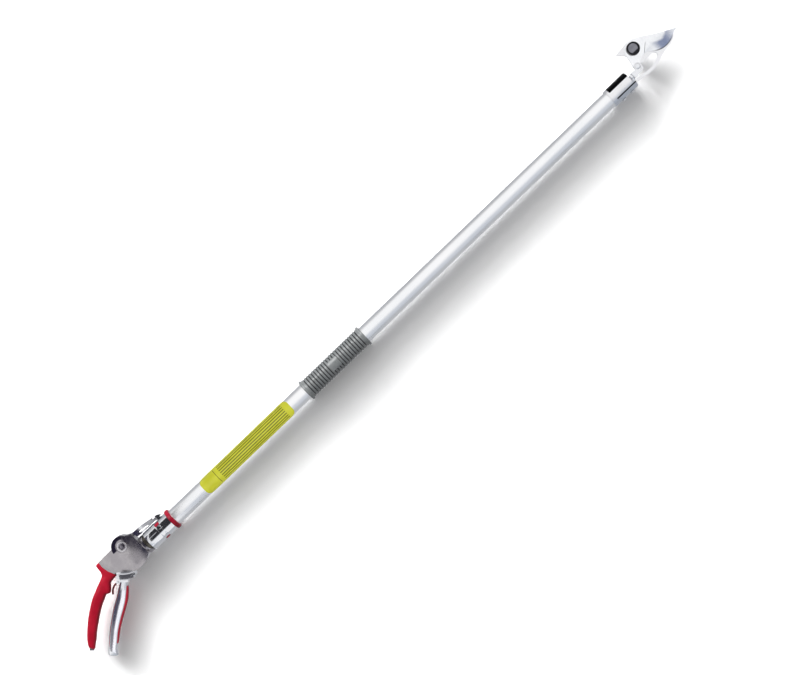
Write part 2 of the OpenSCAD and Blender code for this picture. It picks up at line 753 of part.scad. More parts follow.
// Holes for the screws of the saddle and of the cap
module clamp_holes(r) {
    for (d = saddle_at) translate([front_x - d, 0, 0]) rotate([90, 0, 0]) cylinder(h = tube_d, r = r);
    for (d = cap_at) translate([front_x - d, 0, 0]) rotate([180, 0, 0]) cylinder(h = tube_d, r = r);
}

// Aluminium plug in the tube's front end, which takes the screws and guides the rod
module head_plug() {
    color("lightgray") difference() {
        along_x(front_x - clamp_len) cylinder(h = clamp_len, r = inner_r);
        along_x(front_x - clamp_len - 1) cylinder(h = clamp_len + 2, r = rod_r + run_gap);
        clamp_holes(screw_r + seat_gap);
    }
}

function at_bolt(p) = bolt_at + p;
function at_front(p) = [front_x + p[0], p[1]];

// The hook plate behind the blade: hub, rear spur and the curved lower jaw
module hook_outline() {
    jaw = smooth([for (p = [[13.5, 2], [15.5, -6], [20.5, -13.4], [28, -19.6], [36, -23.4], [44, -25.2],
        [52, -25.4], [59.5, -24.6]]) at_bolt(p)], 3);
    belly = smooth([for (p = [[58.5, -26.2], [52, -29.8], [44, -32.4], [34, -33.6], [24, -35.6], [19, -37.7],
        [13.6, -39.7]]) at_bolt(p)], 3);
    window = smooth([for (p = [[15, -35.4], [18.6, -32.6], [20.6, -29.4], [20.4, -26.4], [18, -24.2],
        [15, -23.4]]) at_bolt(p)], 3);
    union() {
        translate(bolt_at) circle(13);
        outline([at_bolt([-24, 10.5]), at_bolt([-3, 12.9]), at_bolt([-2, 0]), at_bolt([-13, -3]),
            at_bolt([-16, 2])]);
        outline(concat([at_bolt([-12, -4]), at_bolt([0, 6])], jaw, belly, window,
            [at_bolt([-5, -23.6]), at_bolt([-7.6, -20])]));
    }
}

// Saddle under the tube, front wall, arched arm and hook plate in one forging
module head_frame() {
    arm = smooth([for (p = [[1.5, -8.2], [8, -7.6], [16, -8.2], [24, -9.5], [33, -10.4], [42, -9.6], [50, -7],
        [57, -3.4], [64, -2.2]]) at_front(p)], 3);
    cut_y = -5.6;
    color("silver") difference() {
        union() {
            intersection() {
                ring_x(front_x - clamp_len, clamp_len + 3.4, clamp_r, tube_r + seat_gap);
                translate([front_x - clamp_len, cut_y - tube_d, -tube_d])
                    cube([clamp_len + 3.4, tube_d, 2 * tube_d]);
            }
            intersection() {
                ring_x(front_x + 0.4, 3, clamp_r, 7);
                translate([front_x, -clamp_r, -tube_d]) cube([4, clamp_r - 2, 2 * tube_d]);
            }
            plate(-hook_t, 0) outline(band(arm, 2.5));
            plate(-hook_t, 1.5) outline(band([for (i = [0:15]) arm[i]], 2.5));
            plate(-hook_t, 0) hook_outline();
        }
        along_x(front_x - clamp_len - 1) cylinder(h = clamp_len + 1.4, r = tube_r + seat_gap);
        clamp_holes(screw_r + seat_gap);
        peg(bolt_at, blade_bolt_d / 2 + seat_gap, -hook_t - 1, 1);
        jaw_bevel();
    }
}

// Relief behind the lower jaw's edge
module jaw_bevel() {
    c = bolt_at + [44, 8];
    intersection() {
        translate([c[0], c[1], -hook_t - 0.01]) rotate_extrude($fn = 96)
            polygon([[30, -1], [37, -1], [37, 0], [33.4, hook_t - 1], [30, hook_t - 1]]);
        translate([bolt_at[0] + 16, bolt_at[1] - 60, -hook_t - 1]) cube([60, 60, hook_t]);
    }
}

// Chromed cap over the tube's front end, sprung round the tube down to the saddle
module ferrule_cap() {
    cut_y = -5.6 + 0.2;
    color("silver") difference() {
        intersection() {
            along_x(front_x - clamp_len) rotate_extrude() polygon([
                [tube_r + seat_gap, 0], [clamp_r - 0.5, 0], [clamp_r, 0.5], [clamp_r, clamp_len - 0.5],
                [clamp_r - 0.5, clamp_len], [tube_r + seat_gap, clamp_len]]);
            translate([front_x - clamp_len, cut_y, -tube_d]) cube([clamp_len, 2 * tube_d, 2 * tube_d]);
        }
        clamp_holes(screw_r + seat_gap);
    }
}

// Pan head screws: shank into the plug, head on the clamp
module clamp_screw(head) {
    union() {
        translate([0, 0, rod_r + 1.5]) cylinder(h = clamp_r - rod_r - 1, r = screw_r);
        translate([0, 0, clamp_r]) difference() {
            cylinder(h = 2, r = head);
            translate([0, 0, 1]) cylinder(h = 2, r = screw_r * 0.6, $fn = 6);
        }
    }
}

module saddle_screws() {
    color("dimgray") for (d = saddle_at) translate([front_x - d, 0, 0]) rotate([90, 0, 0])
        clamp_screw(screw_r * 1.8);
}

module cap_screws() {
    color("dimgray") for (d = cap_at) translate([front_x - d, 0, 0]) rotate([180, 0, 0])
        clamp_screw(screw_r * 1.8);
}

// Blade

// Blade outline: round hub, tail down to the link pin, curved back and a cutting edge that is one arc
module blade_outline() {
    back = smooth([for (p = [[9, 11], [19, 6], [34, -3.6], [44, -9.2], [51, -13], [58, -16.8], [65, -20],
        [69.4, -21.3]]) at_bolt(p)], 3);
    heel = smooth([for (p = [[-10.6, 6.4], [-13.6, 1], [-15.2, -6], [-16.8, -14], [-18.1, -21]])
        at_bolt(p)], 3);
    union() {
        translate(bolt_at) circle(12.4, $fn = 128);
        translate(link_at) circle(link_r + 3);
        outline(concat(heel, [link_at + [0, -2], link_at + [4.4, -2.6], at_bolt([-7, -21]), at_bolt([4, -16]),
            at_bolt([12, -14]), at_bolt([6, 2])]));
        intersection() {
            outline(concat([at_bolt([-6, 0]), at_bolt([0, 12.3]), at_bolt([5, 12])], back,
                [for (p = [[65, -22], [60, -26], [50, -44], [22, -44], [9, -15.8], [-4, -17]]) at_bolt(p)]));
            union() {
                translate(edge_centre) circle(edge_r, $fn = 180);
                outline([for (p = [[54, -10], [57, -24.2], [61.5, -22.4], [65.5, -21.7], [69.6, -21.4],
                    [69.6, -10]]) at_bolt(p)]);
                translate(at_bolt([-30, -16.4])) square([44, 40]);
            }
        }
    }
}

module blade() {
    top = blade_z + blade_t;
    color("gainsboro") difference() {
        plate(blade_z, top) blade_outline();
        intersection() {
            union() {
                translate([0, 0, top - step_t]) blade_side(20);
                blade_grind(top - step_t);
            }
            blade_side(20);
        }
        peg(bolt_at, blade_bolt_d / 2 + run_gap, -5, 10);
        peg(link_at, link_r + seat_gap, -5, 10);
    }
}

// The part of space on the cutting side of the step that ends the thick hub
module blade_side(h) {
    translate(concat(at_bolt([8, -15]), 0)) rotate([0, 0, 41]) translate([-10, -70, 0]) cube([100, 70, h]);
}

// Hollow ground band along the cutting edge: a cylinder along X that leaves the edge thin
module blade_grind(top) {
    back = bolt_at[1] - 13.5;
    fall = top - blade_z - 0.35;
    dip = 0.25;
    wide = norm([grind_w + 4, fall]);
    r = wide * wide / (8 * dip) + dip / 2;
    tilt = atan2(fall, grind_w + 4);
    translate([bolt_at[0], back, top]) rotate([tilt, 0, 0]) translate([0, -wide / 2, r - dip])
        rotate([0, 90, 0]) cylinder(h = 90, r = r, $fn = 512);
}

// Dark round bolt head with a rim and a flat, over the blade's hub
module blade_bolt() {
    z = blade_z + blade_t + 1.2;
    color("darkslategray") union() {
        peg(bolt_at, blade_bolt_d / 2, -hook_t - 6, z);
        difference() {
            translate([bolt_at[0], bolt_at[1], z]) rotate_extrude($fn = 96) polygon([
                [0, 0], [blade_head_r, 0], [blade_head_r, 3.6], [blade_head_r - 0.8, 4.4],
                [blade_head_r - 2, 4.4], [blade_head_r - 2.4, 3.4], [0, 3.4]]);
            translate([bolt_at[0] - 12, bolt_at[1] - 18.2, z + 2.2]) cube([24, 12.6, 5]);
        }
    }
}

module blade_washer() {
    color("silver") difference() {
        peg(bolt_at, blade_head_r - 0.6, blade_z + blade_t, blade_z + blade_t + 1.2);
        peg(bolt_at, blade_bolt_d / 2 + seat_gap, 0, 10);
    }
}

module blade_nut() {
    color("silver") difference() {
        union() {
            peg(bolt_at, 7.6, -hook_t - 1, -hook_t);
            translate([bolt_at[0], bolt_at[1], -hook_t - 5.6]) cylinder(h = 4.8, r = 7.5, $fn = 6);
        }
        peg(bolt_at, blade_bolt_d / 2 + seat_gap, -20, 0);
    }
}

// Riveted pin in the blade's tail, which runs in the rod eye's slot
module link_pin() {
    z = eye_z + eye_t + 0.2;
    color("silver") union() {
        peg(link_at, link_r, blade_z, z);
        translate([link_at[0], link_at[1], z]) rotate_extrude() polygon([
            [0, 0], [link_r + 1.8, 0], [link_r + 1.8, 0.8], [link_r + 0.6, 1.7], [0, 1.9]]);
    }
}

pole_tube();
ribbed_grip();
label_band();
socket_bush();
socket_sleeve();
swivel_ring();
inner_stop();
spring_stop();
rod_guides();
latch_bracket();
latch_pin();
latch_spring();
swivel_latch();
swivel_spigot();
handle_body();
handle_coat();
pivot_bolt();
pivot_nut();
lever();
lever_pad();
catch_pin();
catch_hook();
pull_rod();
rod_spool();
spring_collar();
return_spring();
rod_lock_nut();
rod_eye();
head_plug();
head_frame();
ferrule_cap();
saddle_screws();
cap_screws();
blade_bolt();
blade_nut();
blade_washer();
blade();
link_pin();
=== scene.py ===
import json
import math
import bpy
import bmesh
import numpy as np
from mathutils import Matrix, Vector

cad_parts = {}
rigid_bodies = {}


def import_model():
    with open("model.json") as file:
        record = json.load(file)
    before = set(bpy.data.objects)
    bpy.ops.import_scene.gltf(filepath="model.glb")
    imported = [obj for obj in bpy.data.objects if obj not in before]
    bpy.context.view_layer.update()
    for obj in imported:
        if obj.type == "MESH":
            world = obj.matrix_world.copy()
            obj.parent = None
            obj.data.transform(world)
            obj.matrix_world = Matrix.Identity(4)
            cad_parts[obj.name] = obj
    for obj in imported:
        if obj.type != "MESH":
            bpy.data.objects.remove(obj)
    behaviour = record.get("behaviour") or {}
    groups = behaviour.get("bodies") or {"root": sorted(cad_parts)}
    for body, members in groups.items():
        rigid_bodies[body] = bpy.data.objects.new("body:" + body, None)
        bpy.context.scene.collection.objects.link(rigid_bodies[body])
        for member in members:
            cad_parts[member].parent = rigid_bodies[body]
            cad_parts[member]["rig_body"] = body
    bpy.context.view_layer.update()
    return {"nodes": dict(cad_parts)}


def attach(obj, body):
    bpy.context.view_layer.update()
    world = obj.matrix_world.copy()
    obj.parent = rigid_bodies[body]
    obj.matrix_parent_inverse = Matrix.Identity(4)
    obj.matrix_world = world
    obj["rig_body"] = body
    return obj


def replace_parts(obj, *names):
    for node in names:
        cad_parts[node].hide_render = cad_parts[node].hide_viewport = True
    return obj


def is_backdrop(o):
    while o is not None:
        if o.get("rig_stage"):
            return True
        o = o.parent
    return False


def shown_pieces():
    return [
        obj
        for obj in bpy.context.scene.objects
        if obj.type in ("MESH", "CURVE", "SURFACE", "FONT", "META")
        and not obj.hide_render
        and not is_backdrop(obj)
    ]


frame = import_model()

nodes = frame["nodes"]
millimetre = 0.001
print("frame loaded with", len(nodes), "nodes")

# Places shared with the part, in millimetres: the tube's rear end and the lever's pivot
tubeRear = -476.0
leverPivot = (-507.5, 21.5)


# Surfaces

meshLook = dict(mergeWithin=2e-6, flatAngle=0.4, bevelAngle=32, bevelSegments=2, copySuffix="_finish")


def gridFaces(rows, columns):
    # Quads between neighbouring rows; the last column joins the first
    row = np.arange(rows - 1)[:, None] * columns
    column = np.arange(columns)[None, :]
    following = (column + 1) % columns
    below = row + columns
    quads = np.stack([row + column, row + following, below + following, below + column], -1)
    return quads.reshape(-1, 4)


def smoothRows(rows, steps):
    # Catmull-Rom curve through the rows: each span blends four neighbours with cubic weights
    rows = np.asarray(rows, float)
    padded = np.vstack([rows[:1], rows, rows[-1:]])
    t = (np.arange(steps) / steps)[None, :, None]
    a, b, c, d = (padded[i:len(rows) - 1 + i, None, :] for i in range(4))
    square = (2 * a - 5 * b + 4 * c - d) * t ** 2
    cube = (3 * b - a - 3 * c + d) * t ** 3
    curve = 0.5 * (2 * b + (c - a) * t + square + cube)
    return np.vstack([curve.reshape(-1, rows.shape[1]), rows[-1:]])


def bulge(value, power):
    # Signed power, which swells a circle's cosine and sine towards a rounded rectangle
    return np.sign(value) * np.abs(value) ** power


def capped(rings):
    # Rings closed at both ends by shrinking the first and the last one to their middles
    first = rings[:1].mean(1, keepdims=True) + 0 * rings[:1]
    last = rings[-1:].mean(1, keepdims=True) + 0 * rings[-1:]
    return np.concatenate([first, rings, last])


def addPiece(name, grid, body, material):
    # A closed mesh from a grid of points, its doubles merged and its faces turned outwards
    mesh = bpy.data.meshes.new(name)
    points = grid.reshape(-1, 3) * millimetre
    mesh.from_pydata(points.tolist(), [], gridFaces(*grid.shape[:2]).tolist())
    work = bmesh.new()
    work.from_mesh(mesh)
    bmesh.ops.remove_doubles(work, verts=work.verts, dist=meshLook["mergeWithin"])
    bmesh.ops.recalc_face_normals(work, faces=work.faces)
    work.to_mesh(mesh)
    work.free()
    mesh.polygons.foreach_set("use_smooth", [True] * len(mesh.polygons))
    mesh.materials.append(material)
    piece = bpy.data.objects.new(name, mesh)
    bpy.context.scene.collection.objects.link(piece)
    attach(piece, body)
    return piece


def finishCopy(node, material, bevel, keepAngle=28):
    # A copy of a node with its triangles merged, its edges rounded and its curves shaded smooth
    source = nodes[node]
    name = node + meshLook["copySuffix"]
    mesh = source.data.copy()
    mesh.name = name
    mesh.materials.clear()
    mesh.materials.append(material)
    work = bmesh.new()
    work.from_mesh(mesh)
    bmesh.ops.remove_doubles(work, verts=work.verts, dist=meshLook["mergeWithin"])
    flat = math.radians(meshLook["flatAngle"])
    bmesh.ops.dissolve_limit(work, angle_limit=flat, verts=work.verts, edges=work.edges)
    for face in work.faces:
        face.smooth = True
        face.material_index = 0
    for edge in work.edges:
        if len(edge.link_faces) == 2:
            edge.smooth = edge.calc_face_angle(0) < math.radians(keepAngle)
    work.to_mesh(mesh)
    work.free()
    piece = bpy.data.objects.new(name, mesh)
    bpy.context.scene.collection.objects.link(piece)
    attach(piece, source["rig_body"])
    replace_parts(piece, node)
    if bevel:
        rounding = piece.modifiers.new("edges", "BEVEL")
        rounding.width = bevel * millimetre
        rounding.segments = meshLook["bevelSegments"]
        rounding.limit_method = "ANGLE"
        rounding.angle_limit = math.radians(meshLook["bevelAngle"])
        rounding.harden_normals = True
    return piece


# Shader groups

def newGroup(name, inputs, outputs):
    group = bpy.data.node_groups.new(name, "ShaderNodeTree")
    for label, kind, value in inputs:
        socket = group.interface.new_socket(name=label, in_out="INPUT", socket_type=kind)
        socket.default_value = value
    for label in outputs:
        group.interface.new_socket(name=label, in_out="OUTPUT", socket_type="NodeSocketFloat")
    return group, group.nodes.new("NodeGroupInput"), group.nodes.new("NodeGroupOutput")


def mathNode(tree, operation, first, second=None, third=None):
    # The values are sockets or plain numbers
    node = tree.nodes.new("ShaderNodeMath")
    node.operation = operation
    for index, value in enumerate((first, second, third)):
        if value is None:
            continue
        if isinstance(value, (int, float)):
            node.inputs[index].default_value = value
        else:
            tree.links.new(value, node.inputs[index])
    return node.outputs[0]


def ramp(tree, value, low, high, toLow=0.0, toHigh=1.0):
    # Smooth step from one value at low to another at high
    node = tree.nodes.new("ShaderNodeMapRange")
    node.interpolation_type = "SMOOTHSTEP"
    node.inputs["From Min"].default_value = low
    node.inputs["From Max"].default_value = high
    node.inputs["To Min"].default_value = toLow
    node.inputs["To Max"].default_value = toHigh
    tree.links.new(value, node.inputs["Value"])
    return node.outputs["Result"]


def noise(tree, vector, scale, detail, roughness):
    node = tree.nodes.new("ShaderNodeTexNoise")
    node.inputs["Detail"].default_value = detail
    node.inputs["Roughness"].default_value = roughness
    tree.links.new(scale, node.inputs["Scale"])
    tree.links.new(vector, node.inputs["Vector"])
    return node.outputs["Fac"]


def makeGrainGroup():
    # Fine streaks drawn out along one direction, over slow clouds of tone
    group, source, result = newGroup("metalGrain", [
        ("Stretch", "NodeSocketVector", (1.0, 1.0, 1.0)),
        ("Scale", "NodeSocketFloat", 900.0),
        ("Cloud Scale", "NodeSocketFloat", 25.0)], ["Streak", "Cloud"])
    place = group.nodes.new("ShaderNodeTexCoord").outputs["Object"]
    stretch = group.nodes.new("ShaderNodeVectorMath")
    stretch.operation = "MULTIPLY"
    group.links.new(place, stretch.inputs[0])
    group.links.new(source.outputs["Stretch"], stretch.inputs[1])
    streak = noise(group, stretch.outputs[0], source.outputs["Scale"], detail=5.0, roughness=0.65)
    cloud = noise(group, place, source.outputs["Cloud Scale"], detail=3.0, roughness=0.5)
    group.links.new(streak, result.inputs["Streak"])
    group.links.new(cloud, result.inputs["Cloud"])
    return group


# Turn and squeeze of the two sets of scratches, and the part of the noise that is a scratch
marksLook = dict(sets=[(0.5, 26.0), (-0.9, 34.0)], crest=(0.70, 0.78))


def makeMarksGroup():
    # Sparse hairline scratches in two directions: the crests of noise that is squeezed across each one
    group, source, result = newGroup("handlingMarks", [
        ("Scratch Scale", "NodeSocketFloat", 60.0)], ["Scratch"])
    place = group.nodes.new("ShaderNodeTexCoord").outputs["Object"]
    lines = []
    for turn, squeeze in marksLook["sets"]:
        mapping = group.nodes.new("ShaderNodeMapping")
        mapping.inputs["Rotation"].default_value = (0.3 * turn, 0.2, turn)
        mapping.inputs["Scale"].default_value = (1.0, squeeze, 3.0)
        group.links.new(place, mapping.inputs["Vector"])
        field = noise(group, mapping.outputs[0], source.outputs["Scratch Scale"], detail=2.0, roughness=0.5)
        lines.append(ramp(group, field, *marksLook["crest"]))
    group.links.new(mathNode(group, "MAXIMUM", *lines), result.inputs["Scratch"])
    return group


def makeMouldGroup():
    # Spark-eroded mould texture: close cells over soft lumps
    group, source, result = newGroup("mouldTexture", [
        ("Scale", "NodeSocketFloat", 1600.0),
        ("Lump Scale", "NodeSocketFloat", 120.0)], ["Cell", "Lump"])
    place = group.nodes.new("ShaderNodeTexCoord").outputs["Object"]
    cells = group.nodes.new("ShaderNodeTexVoronoi")
    group.links.new(place, cells.inputs["Vector"])
    group.links.new(source.outputs["Scale"], cells.inputs["Scale"])
    lump = noise(group, place, source.outputs["Lump Scale"], detail=3.0, roughness=0.5)
    group.links.new(cells.outputs["Distance"], result.inputs["Cell"])
    group.links.new(lump, result.inputs["Lump"])
    return group


grainGroup = makeGrainGroup()
marksGroup = makeMarksGroup()
mouldGroup = makeMouldGroup()
print("shader groups made")


# Materials

toneSpan = (0.3, 0.7)      # the part of a slow noise that carries tone from dark to light
streakSpan = (0.35, 0.65)  # the same for fine streaks


def placeGroup(tree, group, **values):
    node = tree.nodes.new("ShaderNodeGroup")
    node.node_tree = group
    for label, value in values.items():
        node.inputs[label.replace("_", " ")].default_value = value
    return node


def newMaterial(name):
    material = bpy.data.materials.new(name)
    material.use_nodes = True
    tree = material.node_tree
    return material, tree, tree.nodes["Principled BSDF"]


def mixColour(tree, factor, first, second):
    # The colours are sockets or plain triples
    node = tree.nodes.new("ShaderNodeMix")
    node.data_type = "RGBA"
    tree.links.new(factor, node.inputs["Factor"])
    for socket, value in ((node.inputs["A"], first), (node.inputs["B"], second)):
        if isinstance(value, tuple):
            socket.default_value = (*value, 1.0)
        else:
            tree.links.new(value, socket)
    return node.outputs["Result"]


def addBump(tree, shader, height, strength, distance):
    bump = tree.nodes.new("ShaderNodeBump")
    bump.inputs["Strength"].default_value = strength
    bump.inputs["Distance"].default_value = distance
    tree.links.new(height, bump.inputs["Height"])
    tree.links.new(bump.outputs["Normal"], shader.inputs["Normal"])


def objectAxes(tree):
    place = tree.nodes.new("ShaderNodeTexCoord").outputs["Object"]
    split = tree.nodes.new("ShaderNodeSeparateXYZ")
    tree.links.new(place, split.inputs[0])
    return split.outputs["X"], split.outputs["Y"], split.outputs["Z"]


def distanceFrom(tree, first, second, centre=(0.0, 0.0)):
    # Distance in a plane from a centre: the square root of the sum of two squares
    across = mathNode(tree, "SUBTRACT", first, centre[0])
    along = mathNode(tree, "SUBTRACT", second, centre[1])
    total = mathNode(tree, "MULTIPLY_ADD", across, across, mathNode(tree, "MULTIPLY", along, along))
    return mathNode(tree, "SQRT", total)


def within(tree, value, low, high, soft):
    # A mask that is 1 between two bounds, with soft shoulders
    rise = ramp(tree, value, low - soft, low + soft)
    fall = ramp(tree, value, high - soft, high + soft, 1.0, 0.0)
    return mathNode(tree, "MULTIPLY", rise, fall)


stripLook = dict(endSoft=0.0003, proud=(0.0128, 0.0131))  # strips lie only outside the tube's radius


def stripMask(tree, strip):
    # A strip along the pole, which carries the dark lines and the painted reflection: between two places on X
    # and two angles round it, from +Z towards +Y
    x, y, z = objectAxes(tree)
    start, end = (value * millimetre for value in strip["x"])
    along = within(tree, x, start, end, stripLook["endSoft"])
    low, high = (math.radians(value) for value in strip["angle"])
    around = within(tree, mathNode(tree, "ARCTAN2", y, z), low, high, strip["soft"])
    outside = ramp(tree, distanceFrom(tree, y, z), *stripLook["proud"])
    return mathNode(tree, "MULTIPLY", mathNode(tree, "MULTIPLY", along, around), outside)


def faceMask(tree, face):
    # The middle of a round head, cut by a chord on its -Y side
    x, y, z = objectAxes(tree)
    centre = [value * millimetre for value in face["centre"]]
    radius = distanceFrom(tree, x, y, centre)
    soft = 0.2
    inner, outer = ((face["radius"] + side * soft) * millimetre for side in (-1, 1))
    inside = ramp(tree, radius, inner, outer, 1.0, 0.0)
    chord = centre[1] + face["chord"] * millimetre
    above = ramp(tree, y, chord - soft * millimetre, chord + soft * millimetre)
    return mathNode(tree, "MULTIPLY", inside, above)


# Noise scales are per metre; strips, one of them a painted reflection, and faces are in millimetres and
# degrees, a strip's soft in radians
metalBase = dict(stretch=(1.0, 1.0, 1.0), scratch=60.0, metallic=1.0, roughScratch=0.12, depth=0.00002)
metalLooks = dict(
    tube=dict(
        dark=(0.90, 0.91, 0.93), light=(0.97, 0.97, 0.98), stretch=(0.02, 1.0, 1.0), grain=2600.0,
        cloud=14.0, streakTone=0.25, rough=0.24, roughStreak=0.10, roughCloud=0.05, relief=0.10),
    chrome=dict(
        dark=(0.76, 0.77, 0.80), light=(0.86, 0.87, 0.90), grain=500.0, cloud=40.0,
        streakTone=0.15, rough=0.07, roughStreak=0.05, roughCloud=0.05, relief=0.05),
    casting=dict(
        dark=(0.36, 0.34, 0.36), light=(0.47, 0.45, 0.46), grain=160.0, cloud=45.0,
        streakTone=0.30, rough=0.10, roughStreak=0.08, roughCloud=0.10, relief=0.25),
    lever=dict(
        dark=(0.74, 0.75, 0.79), light=(0.86, 0.86, 0.89), grain=420.0, cloud=40.0,
        streakTone=0.15, rough=0.09, roughStreak=0.05, roughCloud=0.06, relief=0.06),
    frame=dict(
        dark=(0.82, 0.82, 0.84), light=(0.90, 0.90, 0.92), grain=900.0, cloud=60.0,
        streakTone=0.20, rough=0.22, roughStreak=0.12, roughCloud=0.08, relief=0.10,
        stripsAndPaintedReflection=[  # the grey lower side, which is a painted reflection, the dark parting line and the black strip
            dict(x=(436.0, 492.0), angle=(-120.0, -27.0), tone=(0.66, 0.69, 0.75), soft=0.05),
            dict(x=(443.0, 481.0), angle=(-36.0, -26.5), tone=(0.012, 0.012, 0.015), soft=0.02),
            dict(x=(440.5, 478.0), angle=(26.0, 84.0), tone=(0.004, 0.004, 0.005), soft=0.02)]),
    steel=dict(
        dark=(0.50, 0.51, 0.54), light=(0.62, 0.63, 0.66), stretch=(0.15, 1.0, 1.0), grain=1500.0,
        cloud=60.0, streakTone=0.25, rough=0.24, roughStreak=0.12, roughCloud=0.08, relief=0.15),
    bronze=dict(
        dark=(0.13, 0.12, 0.10), light=(0.22, 0.20, 0.17), stretch=(0.1, 1.0, 1.0), grain=1400.0,
        cloud=80.0, streakTone=0.30, rough=0.26, roughStreak=0.12, roughCloud=0.10, relief=0.15),
    bolt=dict(
        dark=(0.22, 0.22, 0.25), light=(0.31, 0.31, 0.35), grain=1100.0, cloud=160.0,
        streakTone=0.35, rough=0.30, roughStreak=0.16, roughCloud=0.10, relief=0.20, metallic=0.8,
        face=dict(centre=(509.6, 29.6), radius=7.0, chord=-5.0, rim=(0.018, 0.018, 0.022))),
    pivot=dict(
        dark=(0.13, 0.12, 0.15), light=(0.32, 0.30, 0.33), grain=700.0, cloud=300.0,
        streakTone=0.30, rough=0.16, roughStreak=0.10, roughCloud=0.08, relief=0.12,
        face=dict(centre=leverPivot, radius=4.4, chord=-20.0, rim=(0.74, 0.72, 0.74))),
    catch=dict(
        dark=(0.16, 0.012, 0.022), light=(0.24, 0.018, 0.034), grain=900.0, cloud=160.0,
        streakTone=0.3, rough=0.30, roughStreak=0.10, roughCloud=0.10, relief=0.10, metallic=0.25),
)


def metalFinish(name, look):
    # Streaks and clouds vary tone and roughness, hairlines dull it, and the streaks are felt as a relief
    look = {**metalBase, **look}
    material, tree, shader = newMaterial(name)
    grain = placeGroup(tree, grainGroup, Stretch=look["stretch"], Scale=look["grain"],
                       Cloud_Scale=look["cloud"])
    marks = placeGroup(tree, marksGroup, Scratch_Scale=look["scratch"])
    shader.inputs["Metallic"].default_value = look["metallic"]
    tone = ramp(tree, grain.outputs["Cloud"], *toneSpan)
    colour = mixColour(tree, tone, look["dark"], look["light"])
    streak = ramp(tree, grain.outputs["Streak"], *streakSpan)
    colour = mixColour(tree, mathNode(tree, "MULTIPLY", streak, look["streakTone"]), colour, look["dark"])
    # Strips along the pole: dark lines, and on the frame a painted reflection that greys its lower side
    for strip in look.get("stripsAndPaintedReflection", []):
        colour = mixColour(tree, stripMask(tree, strip), colour, strip["tone"])
    if "face" in look:
        colour = mixColour(tree, faceMask(tree, look["face"]), look["face"]["rim"], colour)
    tree.links.new(colour, shader.inputs["Base Color"])
    rough = mathNode(tree, "MULTIPLY_ADD", streak, look["roughStreak"], look["rough"])
    rough = mathNode(tree, "MULTIPLY_ADD", tone, look["roughCloud"], rough)
    rough = mathNode(tree, "MULTIPLY_ADD", marks.outputs["Scratch"], look["roughScratch"], rough)
    tree.links.new(rough, shader.inputs["Roughness"])
    addBump(tree, shader, streak, look["relief"], look["depth"])
    return material


plasticBase = dict(scratch=45.0, rub=0.15, gloss=0.5, depth=0.00004)
plasticLooks = dict(
    rubber=dict(
        dark=(0.178, 0.190, 0.193), light=(0.236, 0.248, 0.253), worn=(0.40, 0.40, 0.41),
        cells=1500.0, lumps=90.0, rough=0.27, roughTone=0.10, relief=0.25, depth=0.00006,
        # groove and shade give where painted shade darkens the grooves, and its colour
        rub=0.25, gloss=0.65, groove=(13.85, 14.65), shade=(0.014, 0.015, 0.016)),
    bush=dict(
        dark=(0.300, 0.004, 0.020), light=(0.40, 0.006, 0.030), worn=(0.55, 0.10, 0.12),
        cells=2400.0, lumps=140.0, rough=0.22, roughTone=0.12, relief=0.06, gloss=0.22),
    coat=dict(
        dark=(0.42, 0.004, 0.022), light=(0.52, 0.006, 0.030), worn=(0.60, 0.10, 0.12),
        cells=1900.0, lumps=60.0, rough=0.34, roughTone=0.12, relief=0.10, gloss=0.18),
    strip=dict(
        dark=(0.42, 0.006, 0.026), light=(0.52, 0.008, 0.034), worn=(0.62, 0.12, 0.13),
        cells=1900.0, lumps=70.0, rough=0.36, roughTone=0.12, relief=0.10, gloss=0.25),
    nylon=dict(
        dark=(0.68, 0.67, 0.62), light=(0.78, 0.77, 0.72), worn=(0.85, 0.84, 0.80),
        cells=1500.0, lumps=90.0, rough=0.42, roughTone=0.10, relief=0.08),
)


def plasticFinish(name, look):
    # Cells make the relief, lumps vary tone and gloss, scratches are paler, and painted shade darkens the
    # grooves round the pole
    look = {**plasticBase, **look}
    material, tree, shader = newMaterial(name)
    mould = placeGroup(tree, mouldGroup, Scale=look["cells"], Lump_Scale=look["lumps"])
    marks = placeGroup(tree, marksGroup, Scratch_Scale=look["scratch"])
    tone = ramp(tree, mould.outputs["Lump"], *toneSpan)
    colour = mixColour(tree, tone, look["dark"], look["light"])
    rub = mathNode(tree, "MULTIPLY", marks.outputs["Scratch"], look["rub"])
    colour = mixColour(tree, rub, colour, look["worn"])
    # Painted shade: the colour darkens towards the bottom of each groove, by the distance from the pole's
    # axis
    if "groove" in look:
        x, y, z = objectAxes(tree)
        bottom, crest = (value * millimetre for value in look["groove"])
        ridge = ramp(tree, distanceFrom(tree, y, z), bottom, crest)
        colour = mixColour(tree, ridge, look["shade"], colour)
    tree.links.new(colour, shader.inputs["Base Color"])
    rough = mathNode(tree, "MULTIPLY_ADD", tone, look["roughTone"], look["rough"])
    tree.links.new(rough, shader.inputs["Roughness"])
    shader.inputs["Specular IOR Level"].default_value = look["gloss"]
    addBump(tree, shader, mould.outputs["Cell"], look["relief"], look["depth"])
    return material


metals = {name: metalFinish(name + "Metal", look) for name, look in metalLooks.items()}
plastics = {name: plasticFinish(name + "Plastic", look) for name, look in plasticLooks.items()}


# Yellow film: plain ruled lines along the tube and one rule across it; lengths in metres
filmLook = dict(
    paper=(0.54, 0.545, 0.028), pale=(0.60, 0.605, 0.040), ink=(0.06, 0.06, 0.01), inkShare=0.80,
    radius=0.01255, reach=(0.0125, 0.0131), ruleFrom=-0.334, ruleTo=-0.206, ruleEnd=0.0006,
    pitch=0.0036, ruleHalf=0.00078, ruleSoft=0.0001, crossAt=-0.3405, crossHalf=(0.00035, 0.0006),
    cells=900.0, lumps=60.0, rough=(0.46, 0.58), gloss=0.25, relief=0.05, depth=0.00005)


